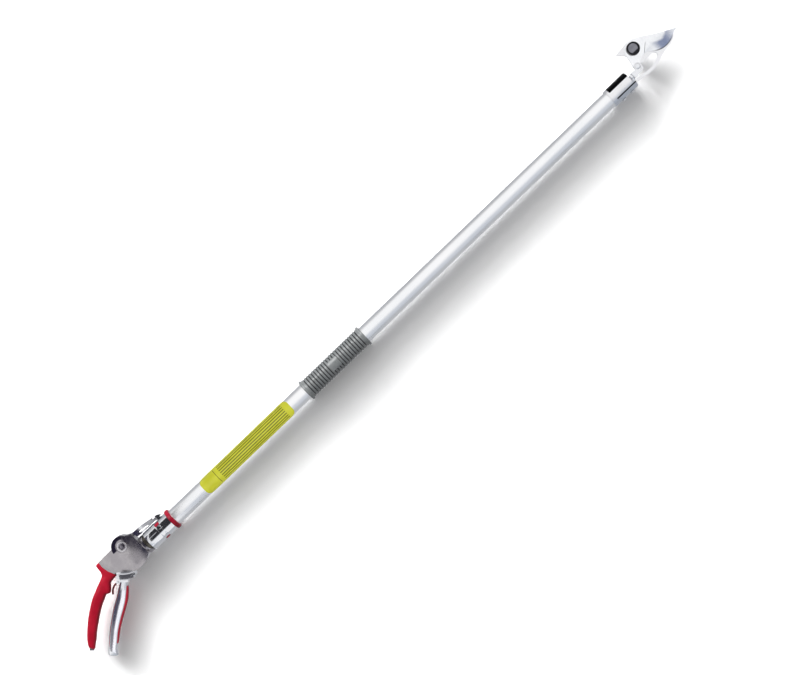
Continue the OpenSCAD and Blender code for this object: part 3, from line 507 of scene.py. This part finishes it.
def makeFilm():
    # Rules repeat with the arc length round the tube, folded at half a pitch on each side of a line
    look = filmLook
    material, tree, shader = newMaterial("filmYellow")
    x, y, z = objectAxes(tree)
    mould = placeGroup(tree, mouldGroup, Scale=look["cells"], Lump_Scale=look["lumps"])
    lump = mould.outputs["Lump"]
    colour = mixColour(tree, ramp(tree, lump, *toneSpan), look["paper"], look["pale"])
    around = mathNode(tree, "MULTIPLY", mathNode(tree, "ARCTAN2", y, z), look["radius"])
    cycle = mathNode(tree, "PINGPONG", around, look["pitch"] / 2)
    low, high = look["ruleHalf"] - look["ruleSoft"], look["ruleHalf"] + look["ruleSoft"]
    rule = ramp(tree, cycle, low, high, 1.0, 0.0)
    start = ramp(tree, x, look["ruleFrom"], look["ruleFrom"] + look["ruleEnd"])
    end = ramp(tree, x, look["ruleTo"] - look["ruleEnd"], look["ruleTo"], 1.0, 0.0)
    rule = mathNode(tree, "MULTIPLY", rule, mathNode(tree, "MULTIPLY", start, end))
    fromCross = mathNode(tree, "ABSOLUTE", mathNode(tree, "SUBTRACT", x, look["crossAt"]))
    cross = ramp(tree, fromCross, *look["crossHalf"], 1.0, 0.0)
    span = ramp(tree, mathNode(tree, "ABSOLUTE", around), *look["reach"], 1.0, 0.0)
    lines = mathNode(tree, "MULTIPLY", mathNode(tree, "MAXIMUM", rule, cross), span)
    lines = mathNode(tree, "MULTIPLY", lines, look["inkShare"])
    tree.links.new(mixColour(tree, lines, colour, look["ink"]), shader.inputs["Base Color"])
    tree.links.new(ramp(tree, lump, *toneSpan, *look["rough"]), shader.inputs["Roughness"])
    shader.inputs["Specular IOR Level"].default_value = look["gloss"]
    addBump(tree, shader, lump, look["relief"], look["depth"])
    return material


# Bright ground steel with a painted blue grey reflection on the hollow behind the cutting edge, and painted
# shade in dark lines at the edge and the step; lengths in metres
bladeSteelLook = dict(
    bright=(0.94, 0.95, 0.97), cloudy=(0.90, 0.91, 0.93), dull=(0.62, 0.64, 0.70), dullShare=0.18,
    stretch=(1.0, 0.05, 1.0), lines=2600.0, cloud=70.0, scratch=80.0,
    edgeCentre=(0.549, 0.0312), edgeRadius=0.032,
    # band is the colour of the painted blue grey reflection on the hollow
    band=(0.22, 0.26, 0.40), bandWave=0.006, bandDepth=(0.0095, 0.0148), bandStart=(0.531, 0.545),
    bandFade=(0.552, 0.574), bandLeft=0.10,
    # line is the colour of the painted shade along the honed edge and at the step
    line=(0.03, 0.03, 0.035), edgeShade=0.0014, edgeShadeSoft=0.0002, edgeShadeSpan=(0.532, 0.562, 0.006),
    edgeShadeShare=0.85, stepAt=(0.518, 0.014), stepSlope=0.869, stepHalf=(0.0003, 0.0007),
    stepSpan=(0.0135, 0.0235, 0.001), stepShare=0.75,
    rough=0.16, roughStreak=0.08, roughBand=0.10, roughScratch=0.12, relief=0.12, depth=0.00002)


def makeBladeSteel():
    # The cutting edge is an arc: the painted blue grey reflection on the hollow, and the thin dark line of
    # painted shade on the honed edge, follow the distance from it
    look = bladeSteelLook
    material, tree, shader = newMaterial("bladeSteel")
    x, y, z = objectAxes(tree)
    grain = placeGroup(tree, grainGroup, Stretch=look["stretch"], Scale=look["lines"],
                       Cloud_Scale=look["cloud"])
    marks = placeGroup(tree, marksGroup, Scratch_Scale=look["scratch"])
    cloud = grain.outputs["Cloud"]
    shader.inputs["Metallic"].default_value = 1.0
    # Painted reflection: the blue grey band on the hollow, by the distance from the edge, fading towards the
    # tip
    fromCentre = distanceFrom(tree, x, y, look["edgeCentre"])
    fromEdge = mathNode(tree, "SUBTRACT", look["edgeRadius"], fromCentre)
    offset = mathNode(tree, "SUBTRACT", cloud, 0.5)
    wave = mathNode(tree, "MULTIPLY_ADD", offset, look["bandWave"], fromEdge)
    band = ramp(tree, wave, *look["bandDepth"], 1.0, 0.0)
    band = mathNode(tree, "MULTIPLY", band, ramp(tree, x, *look["bandStart"]))
    band = mathNode(tree, "MULTIPLY", band, ramp(tree, x, *look["bandFade"], 1.0, look["bandLeft"]))
    colour = mixColour(tree, ramp(tree, cloud, *toneSpan), look["bright"], look["cloudy"])
    colour = mixColour(tree, band, colour, look["band"])
    # Painted shade: a thin dark line along the honed edge
    edgeShade = within(tree, fromEdge, 0.0, look["edgeShade"], look["edgeShadeSoft"])
    edgeShade = mathNode(tree, "MULTIPLY", edgeShade, within(tree, x, *look["edgeShadeSpan"]))
    edgeShade = mathNode(tree, "MULTIPLY", edgeShade, look["edgeShadeShare"])
    # The step is a straight line across the blade, where the sloped distance in X makes up the drop in Y; it
    # gets a dark line of painted shade
    stepX, stepY = look["stepAt"]
    drop = mathNode(tree, "SUBTRACT", stepY, y)
    ridge = mathNode(tree, "MULTIPLY_ADD", mathNode(tree, "SUBTRACT", x, stepX), look["stepSlope"], drop)
    step = ramp(tree, mathNode(tree, "ABSOLUTE", ridge), *look["stepHalf"], 1.0, 0.0)
    step = mathNode(tree, "MULTIPLY", step, within(tree, y, *look["stepSpan"]))
    step = mathNode(tree, "MULTIPLY", step, look["stepShare"])
    colour = mixColour(tree, mathNode(tree, "MAXIMUM", edgeShade, step), colour, look["line"])
    streak = ramp(tree, grain.outputs["Streak"], *streakSpan)
    colour = mixColour(tree, mathNode(tree, "MULTIPLY", streak, look["dullShare"]), colour, look["dull"])
    tree.links.new(colour, shader.inputs["Base Color"])
    rough = mathNode(tree, "MULTIPLY_ADD", streak, look["roughStreak"], look["rough"])
    rough = mathNode(tree, "MULTIPLY_ADD", band, look["roughBand"], rough)
    rough = mathNode(tree, "MULTIPLY_ADD", marks.outputs["Scratch"], look["roughScratch"], rough)
    tree.links.new(rough, shader.inputs["Roughness"])
    addBump(tree, shader, streak, look["relief"], look["depth"])
    return material


filmYellow = makeFilm()
bladeSteel = makeBladeSteel()
print("materials made")


# Fixed pole and head

# Millimetres; the groove's place and half width are shares of the pitch, the pad's ends of the length
gripLook = dict(
    x0=-166.0, length=116.0, outer=14.8, inner=12.56, steps=460, segments=120,
    pitch=4.75, depth=1.1, plainEnds=10.0, grooveAt=0.575, grooveHalf=0.30, groovePower=0.8,
    bead=1.7, beadHalf=2.0, padFrom=0.415, padTo=0.565, padHalfWidth=7.5, padRise=0.2)


def gripProfile(look):
    # Radius along the grip: each groove is a raised cosine to a power, and each end bead rises as the
    # root of one less the fourth power of the distance from its middle
    x = np.linspace(0, look["length"], look["steps"])
    count = int((look["length"] - look["plainEnds"]) // look["pitch"])
    start = (look["length"] - count * look["pitch"]) / 2
    phase = ((x - start) / look["pitch"]) % 1.0
    turn = np.clip((phase - look["grooveAt"]) / look["grooveHalf"], -1, 1) * math.pi
    groove = (0.5 + 0.5 * np.cos(turn)) ** look["groovePower"]
    inRibs = (x > start) & (x < look["length"] - start)
    radius = look["outer"] - look["depth"] * np.where(inRibs, groove, 0)
    for middle in (look["beadHalf"], look["length"] - look["beadHalf"]):
        away = np.abs(x - middle) / look["beadHalf"]
        bead = look["outer"] + look["bead"] * np.sqrt(np.clip(1 - away ** 4, 0, 1))
        radius = np.where(away < 1, np.maximum(radius, bead), radius)
    return x, radius


def makeGrip():
    # The profile is carried round the tube, and filled up to one level over the plain pad on top
    look = gripLook
    x, radius = gripProfile(look)
    angle = np.arange(look["segments"]) * 2 * math.pi / look["segments"]
    cosine, sine = np.cos(angle), np.sin(angle)
    inPad = (x > look["length"] * look["padFrom"]) & (x < look["length"] * look["padTo"])
    onTop = (sine > 0) & (np.abs(cosine) * look["outer"] < look["padHalfWidth"])
    pad = (look["outer"] + look["padRise"]) * (inPad[:, None] & onTop[None, :])
    outer = np.maximum(radius[:, None], pad)
    rows = np.stack([x[:, None] + look["x0"] + 0 * outer, outer * cosine, outer * sine], -1)
    bore = np.stack([0 * angle, look["inner"] * cosine, look["inner"] * sine], -1)
    front, rear = bore + [look["x0"] + look["length"], 0, 0], bore + [look["x0"], 0, 0]
    grid = np.concatenate([rows, [front], [rear], rows[:1]])
    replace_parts(addPiece("grip_rubber", grid, "pole", plastics["rubber"]), "ribbed_grip")


latchSpringTop = 18.95  # millimetres


def shortenLeg(piece, top):
    # Points above a height come down to it, so that the lifted latch clears the spring's leg
    points = np.empty(3 * len(piece.data.vertices), np.float32)
    piece.data.vertices.foreach_get("co", points)
    points[1::3] = np.minimum(points[1::3], top * millimetre)
    piece.data.vertices.foreach_set("co", points)


# Node, finish, bevel in millimetres, and for a few the angle in degrees up to which shading is smooth
poleFinishes = [
    ("pole_tube", metals["tube"], 0.3),
    ("label_band", filmYellow, 0.05),
    ("socket_bush", plastics["bush"], 0.25),
    ("socket_sleeve", metals["chrome"], 0.15),
    ("swivel_ring", metals["bronze"], 0.3),
    ("latch_bracket", metals["chrome"], 0.15),
    ("latch_pin", metals["steel"], 0.25),
    ("latch_spring", metals["steel"], 0, 70),
    ("return_spring", metals["steel"], 0, 70),
    ("swivel_latch", metals["chrome"], 0.2),
    ("head_plug", metals["steel"], 0.2),
    ("head_frame", metals["frame"], 0.5),
    ("ferrule_cap", metals["frame"], 0.2),
    ("saddle_screws", metals["steel"], 0.2),
    ("cap_screws", metals["steel"], 0.2),
    ("blade_bolt", metals["bolt"], 0.25),
    ("blade_nut", metals["steel"], 0.25),
    ("blade_washer", metals["steel"], 0.15)]

makeGrip()
poleCopies = {row[0]: finishCopy(*row) for row in poleFinishes}
shortenLeg(poleCopies["latch_spring"], latchSpringTop)
print("pole and head finished")


# Handle and lever; a row is an outer point, an inner point and what half the thickness differs by

def sectionRings(rows, look, grow=0.0):
    # Superellipse rings: from the outer point to the inner one in the plane, half the thickness across it
    angle = -2 * math.pi * np.arange(look["sides"]) / look["sides"]
    outer, inner, half = rows[:, None, 0:2], rows[:, None, 2:4], rows[:, None, 4]
    middle, reach = (outer + inner) / 2, (outer - inner) / 2
    length = np.linalg.norm(reach, axis=2, keepdims=True)
    reach = reach * (length + grow) / length
    flat = middle + reach * bulge(np.cos(angle), look["power"])[None, :, None]
    height = (half + grow) * bulge(np.sin(angle), look["power"])[None, :]
    return np.concatenate([flat, height[..., None]], -1)


def placedRows(look, steps):
    # Rows moved to the tube's rear end, their last column made half the thickness
    rows = np.array(look["rows"], float)
    rows[:, [0, 2]] += tubeRear
    rows[:, 4] += look["halfWidth"]
    return smoothRows(rows, steps)


handleLook = dict(
    halfWidth=9.0, power=0.7, sides=96, steps=9,
    edge=[(-542.4, -20), (-542.4, -8), (-543, 1), (-547, 10), (-549, 20), (-548, 28.5), (-548, 40)],
    rows=[(-78.5, 28.3, -64, 28.4, -5.5), (-79.7, 26.5, -62, 27, -2.2), (-80.3, 22, -62, 20, -1),
          (-80.8, 16.5, -62, 11, -0.4), (-82.6, 12.3, -62, 3, 0), (-85, 10.4, -64, -2.2, 0),
          (-88, 9, -73, -3.2, 0), (-92, 7.4, -80, -4.6, 0), (-96, 5.8, -84, -8.5, 0),
          (-100, 4.2, -90.5, -14.2, 0), (-105, 1.9, -96.5, -12.6, 0), (-112, -1, -104, -15.6, 0),
          (-120, -5.4, -111.5, -19.2, 0), (-130, -12, -121, -25, 0), (-140, -19.6, -131, -32, 0),
          (-150, -28.4, -141, -39.5, -0.3), (-159, -37.4, -150.5, -47.6, -0.8),
          (-164, -43.6, -157, -52.6, -1.6), (-166.6, -48, -161, -56.2, -3),
          (-167.4, -50.4, -163.4, -57, -6)])


def makeCoat():
    # Dipped red coat: smooth rings, held back at the edge where the bare casting starts
    look = handleLook
    rings = sectionRings(placedRows(look, look["steps"]), look)
    edge = np.array(look["edge"], float)
    limit = np.interp(rings[..., 1], edge[:, 1], edge[:, 0])
    rings[..., 0] = np.minimum(rings[..., 0], limit)
    piece = addPiece("handle_coat_skin", capped(rings), "handle", plastics["coat"])
    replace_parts(piece, "handle_coat")


leverLook = dict(
    halfWidth=8.5, power=0.72, sides=96, steps=9, firstRing=4, proud=0.08,
    rows=[(-66.5, -9, -58.5, -19, -0.5), (-70, -12.6, -63.6, -22, 0), (-80, -19, -71, -29, 0),
          (-90, -25.6, -81, -37.5, 0), (-100, -31.2, -91.5, -44.4, 0), (-110, -38, -102, -50.6, 0),
          (-120, -45.4, -112, -57, 0), (-130, -53.4, -121, -63.6, 0), (-140, -62.6, -130, -71.4, 0),
          (-149, -71, -138, -78.2, -0.4), (-153.6, -76, -142.4, -83.6, -1.4),
          (-153.4, -78.6, -144.6, -86.2, -3), (-151.8, -80.4, -147.6, -84.8, -6)])
padLook = dict(
    steps=12, firstRow=16, lastRow=100, angle=36, columns=40, thickness=2.2, thinning=0.6, least=0.25,
    base=0.12, edgeShare=0.35, sunk=0.05, sideShare=0.3)


def makeLeverGrip():
    # Smooth grip over the lever's own solid, a little proud of its flats
    look = leverLook
    rows = placedRows(look, look["steps"])[look["firstRing"]:]
    rings = capped(sectionRings(rows, look, look["proud"]))
    addPiece("lever_grip", rings, "lever", metals["lever"])


def makeLeverPad():
    # Red strip: the grip's section over an arc round its side away from the handle, raised by a thickness
    # that swells as the root of one less a fourth power, and thins out steadily towards the tip
    look = padLook
    power = leverLook["power"]
    rows = placedRows(leverLook, look["steps"])[look["firstRow"]:look["lastRow"] + 1]
    u = np.linspace(0, 1, len(rows))
    swell = look["thickness"] * np.sqrt(np.clip(1 - (2 * u - 1) ** 4, 0, 1))
    rise = (swell * (1 - look["thinning"] * u) + look["least"])[:, None]
    outer, inner, half = rows[:, None, 0:2], rows[:, None, 2:4], rows[:, None, 4]
    middle, reach = (outer + inner) / 2, (inner - outer) / 2
    away = reach / np.linalg.norm(reach, axis=2, keepdims=True)
    angle = np.radians(np.linspace(-look["angle"], look["angle"], look["columns"]))[None, :]
    across = np.sqrt(np.clip(1 - np.linspace(-1, 1, look["columns"]) ** 6, 0, 1))[None, :]

    def layer(grow):
        flat = middle + reach * bulge(np.cos(angle), power)[..., None] + away * grow[..., None]
        height = (half + grow * look["sideShare"]) * bulge(np.sin(angle), power)
        return np.concatenate([flat, height[..., None]], -1)

    crown = look["edgeShare"] + (1 - look["edgeShare"]) * across
    top = layer(look["base"] + (rise - look["base"]) * crown)
    under = layer(look["sunk"] + 0 * rise * across)[:, ::-1]
    rings = capped(np.concatenate([top, under], 1))
    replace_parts(addPiece("lever_strip", rings, "lever", plastics["strip"]), "lever_pad")


handleFinishes = [
    ("handle_body", metals["casting"], 0.5),
    ("swivel_spigot", metals["steel"], 0.2),
    ("pivot_bolt", metals["pivot"], 0.15),
    ("pivot_nut", metals["chrome"], 0.3),
    ("lever", metals["lever"], 0.3, 32),
    ("catch_pin", metals["steel"], 0.2),
    ("catch_hook", metals["catch"], 0.35)]

makeCoat()
makeLeverGrip()
makeLeverPad()
for row in handleFinishes:
    finishCopy(*row)
print("handle and lever finished")


# Rod and blade

rodFinishes = [
    ("pull_rod", metals["steel"], 0.2),
    ("rod_spool", metals["steel"], 0.2),
    ("spring_collar", metals["steel"], 0.2),
    ("inner_stop", metals["steel"], 0.2),
    ("spring_stop", metals["steel"], 0.2),
    ("rod_guides", plastics["nylon"], 0.2),
    ("rod_lock_nut", metals["chrome"], 0.25),
    ("rod_eye", metals["chrome"], 0.3),
    ("blade", bladeSteel, 0.12, 12),
    ("link_pin", metals["chrome"], 0.2)]

for row in rodFinishes:
    finishCopy(*row)
print("rod and blade finished")


# Stage

# The floor's height in millimetres, its size in metres
floorLook = dict(
    at=-17.75, size=12.0, tone=(0.94, 0.94, 0.945), lift=(0.13, 0.13, 0.13), mirrored=(0.50, 0.51, 0.53))
skyLook = dict(
    bright=(1.03, 1.03, 1.03), cool=(0.62, 0.65, 0.70), sideSpan=(-0.62, -0.12),
    horizon=0.62, horizonSpan=(0.0, 0.42), fill=((0.08, 0.08, 0.08), (0.46, 0.46, 0.46)),
    fillSpan=(-0.8, 0.8), seen=(1.0, 1.0, 1.0))


def plainMaterial(name):
    material, tree, shader = newMaterial(name)
    shader.inputs["Roughness"].default_value = 0.9
    shader.inputs["Specular IOR Level"].default_value = 0.0
    shader.inputs["Emission Strength"].default_value = 1.0
    return material, shader


def addPlane(name, corners, material):
    mesh = bpy.data.meshes.new(name)
    mesh.from_pydata([tuple(corner) for corner in corners], [], [tuple(range(len(corners)))])
    mesh.materials.append(material)
    plane = bpy.data.objects.new(name, mesh)
    bpy.context.scene.collection.objects.link(plane)
    plane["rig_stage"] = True
    return plane


def makeFloor():
    # White paper, which mirrors see as one grey whatever the lamps leave on it
    look = floorLook
    material, shader = plainMaterial("floorPaper")
    tree = material.node_tree
    mirror = tree.nodes.new("ShaderNodeLightPath").outputs["Is Glossy Ray"]
    tree.links.new(mixColour(tree, mirror, look["tone"], (0.0, 0.0, 0.0)), shader.inputs["Base Color"])
    tree.links.new(mixColour(tree, mirror, look["lift"], look["mirrored"]), shader.inputs["Emission Color"])
    half, level = look["size"] / 2, look["at"] * millimetre
    corners = [(-half, -half, level), (half, -half, level), (half, half, level), (-half, half, level)]
    return addPlane("floor", corners, material)


def makeWorld():
    # White to the camera, a dim fill for plain light, and for mirrors a bright side over a cooler one
    look = skyLook
    world = bpy.data.worlds.new("studio")
    bpy.context.scene.world = world
    world.use_nodes = True
    tree = world.node_tree
    background = tree.nodes["Background"]
    direction = tree.nodes.new("ShaderNodeTexCoord").outputs["Generated"]
    split = tree.nodes.new("ShaderNodeSeparateXYZ")
    tree.links.new(direction, split.inputs[0])
    side = ramp(tree, split.outputs["Y"], *look["sideSpan"])
    low = ramp(tree, split.outputs["Z"], *look["horizonSpan"], look["horizon"], 1.0)
    shade = tree.nodes.new("ShaderNodeVectorMath")
    shade.operation = "SCALE"
    tree.links.new(mixColour(tree, side, look["cool"], look["bright"]), shade.inputs[0])
    tree.links.new(low, shade.inputs["Scale"])
    fill = mixColour(tree, ramp(tree, split.outputs["Y"], *look["fillSpan"]), *look["fill"])
    path = tree.nodes.new("ShaderNodeLightPath")
    lit = mixColour(tree, path.outputs["Is Glossy Ray"], fill, shade.outputs[0])
    seen = mixColour(tree, path.outputs["Is Camera Ray"], lit, look["seen"])
    tree.links.new(seen, background.inputs["Color"])
    background.inputs["Strength"].default_value = 1.0


def oblong(x0, x1, y0, y1):
    return [(x0, y0), (x1, y0), (x1, y1), (x0, y1)]


def crescent(centre, inner, outer, start, end, steps=12):
    # Part of a ring: out along its outer arc and back along its inner one
    turns = np.radians(np.linspace(start, end, steps))
    arcs = [(outer, turns), (inner, turns[::-1])]
    return [(centre[0] + r * math.cos(a), centre[1] + r * math.sin(a)) for r, arc in arcs for a in arc]


# Flags and cards over the tool: outline and height in millimetres, and the tone that mirrors see
flagLooks = dict(
    bodyFlag=(oblong(-512, -484, 6, 150), 70, (0.035, 0.03, 0.06)),
    bossFlag=(crescent(leverPivot, 10.0, 17.0, 55, 178), 17, (0.04, 0.035, 0.07)),
    bellyFlag=(oblong(-501, -484, -7, 6), 60, (0.04, 0.04, 0.08)),
    brushedFlag=(oblong(-519, -501, -11, 7), 60, (0.62, 0.61, 0.64)),
    lowFlag=(oblong(-504, -484, -24, -7), 60, (0.20, 0.20, 0.24)),
    sleeveFlag=(oblong(-479, -431, -24, 16.5), 72, (0.03, 0.03, 0.035)),
    latchCard=(oblong(-479, -457, 16.5, 27), 72, (0.45, 0.45, 0.47)),
    hingeFlag=(oblong(-457, -431, 16.5, 27), 72, (0.03, 0.03, 0.035)),
    sideFlag=(oblong(-479, -431, 27, 150), 72, (0.03, 0.03, 0.035)),
    sleeveCard=(oblong(-484, -430, -420, -30), 72, (1.0, 1.0, 1.0)),
    cupFlag=([(-542, -2), (-519, -21), (-526, -30), (-549, -10)], 40, (0.10, 0.10, 0.11)),
    leverFlag=([(-564, -22), (-606, -56), (-924, 349), (-800, 400), (-680, 200), (-592, 60), (-586, 8)],
               70, (0.09, 0.08, 0.12)),
    gripFlag=([(-606, -56), (-648, -92), (-960, 320), (-924, 349)], 70, (0.27, 0.26, 0.29)),
    leverCard=([(-564, -22), (-472, -140), (-556, -210), (-648, -92)], 70, (1.15, 1.15, 1.18)))


def addFlag(name, outline, height, tone):
    # A level studio flag or card, which only mirrors see
    material, shader = plainMaterial(name + "Card")
    shader.inputs["Base Color"].default_value = (0.0, 0.0, 0.0, 1.0)
    shader.inputs["Emission Color"].default_value = (*tone, 1.0)
    card = addPlane(name, [Vector((*point, height)) * millimetre for point in outline], material)
    card.visible_camera = False
    card.visible_diffuse = False
    card.visible_shadow = False
    card.visible_transmission = False
    card.visible_volume_scatter = False


def addLamp(name, kind, place, receivers):
    # A lamp aimed at the origin, which lights one collection alone
    data = bpy.data.lights.new(name, kind)
    lamp = bpy.data.objects.new(name, data)
    bpy.context.scene.collection.objects.link(lamp)
    lamp.location = place
    back = Vector(place).normalized()
    up = back.cross(Vector((1, 0, 0))).normalized()
    right = up.cross(back)
    lamp.rotation_mode = "QUATERNION"
    lamp.rotation_quaternion = Matrix((right, up, back)).transposed().to_quaternion()
    lamp.light_linking.receiver_collection = receivers
    return data


# Metres and watts
softboxLooks = dict(
    keyBox=dict(place=(0.0, 1.35, 1.75), size=(2.6, 0.8), power=52.0),
    filmBox=dict(place=(0.0, -0.35, 2.2), size=(2.6, 1.6), power=48.0))


def addSoftbox(name, receivers):
    look = softboxLooks[name]
    data = addLamp(name, "AREA", look["place"], receivers)
    data.shape = "RECTANGLE"
    data.size, data.size_y = look["size"]
    data.energy = look["power"]


# The shadow's shift in millimetres; spread, softness and widening are slopes and shares
shadowLook = dict(level=4.0, offset=44.4, spread=1.2, rows=7, columns=3, softness=0.62, widening=1.2)


def addShadowLamps(receivers):
    # A field of soft suns for the floor alone: each throws the shadow h tan(a) to the side, and their
    # weights fall off as a bell curve over tan(a), so the shadow lies to one side with an even soft edge
    look = shadowLook
    middle = look["offset"] / -floorLook["at"]
    row = (np.arange(look["rows"]) - (look["rows"] - 1) / 2) * look["softness"]
    column = (np.arange(look["columns"]) - (look["columns"] - 1) / 2) * look["softness"]
    side, across = np.meshgrid(row, column * look["widening"])
    weight = np.exp(-(side ** 2 + across ** 2) / (2 * look["spread"] ** 2))
    weight /= weight.sum()
    for index, (y, x, share) in enumerate(zip(side.ravel() + middle, across.ravel(), weight.ravel())):
        lean = 1 / math.sqrt(1 + x * x + y * y)
        data = addLamp("shadowLamp%02d" % index, "SUN", (x, y, 1.0), receivers)
        data.energy = look["level"] * share / lean
        data.angle = 2 * math.atan(look["softness"] * lean * lean)


def newCollection(name, pieces):
    collection = bpy.data.collections.new(name)
    for piece in pieces:
        collection.objects.link(piece)
    return collection


floor = makeFloor()
makeWorld()
for name, look in flagLooks.items():
    addFlag(name, *look)
dull = list(plastics.values())
softOnes = [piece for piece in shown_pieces() if piece.data.materials and piece.data.materials[0] in dull]
addShadowLamps(newCollection("floorLight", [floor]))
addSoftbox("keyBox", newCollection("softPieces", softOnes))
addSoftbox("filmBox", newCollection("filmPieces", [poleCopies["label_band"]]))
print("stage made")


# Camera

# Lengths in millimetres, the roll in degrees and the clipping in metres
cameraLook = dict(
    middle=(-15.7, -38.0), distance=2750.0, span=1144.0, roll=43.84, sensor=36.0, clip=(0.05, 50.0))


def makeCamera():
    # Straight above the tool's plane, rolled so that the pole runs up to the right
    look = cameraLook
    data = bpy.data.cameras.new("photoView")
    camera = bpy.data.objects.new("photoView", data)
    bpy.context.scene.collection.objects.link(camera)
    turn = math.radians(look["roll"])
    right = Vector((math.cos(turn), -math.sin(turn), 0))
    up = Vector((math.sin(turn), math.cos(turn), 0))
    camera.matrix_world = Matrix((right, up, Vector((0, 0, 1)))).transposed().to_4x4()
    camera.location = Vector((*look["middle"], look["distance"])) * millimetre
    data.sensor_width = look["sensor"]
    data.lens = look["sensor"] * look["distance"] / look["span"]
    data.clip_start, data.clip_end = look["clip"]
    bpy.context.scene.camera = camera


makeCamera()
bpy.context.scene.view_settings.view_transform = "Standard"
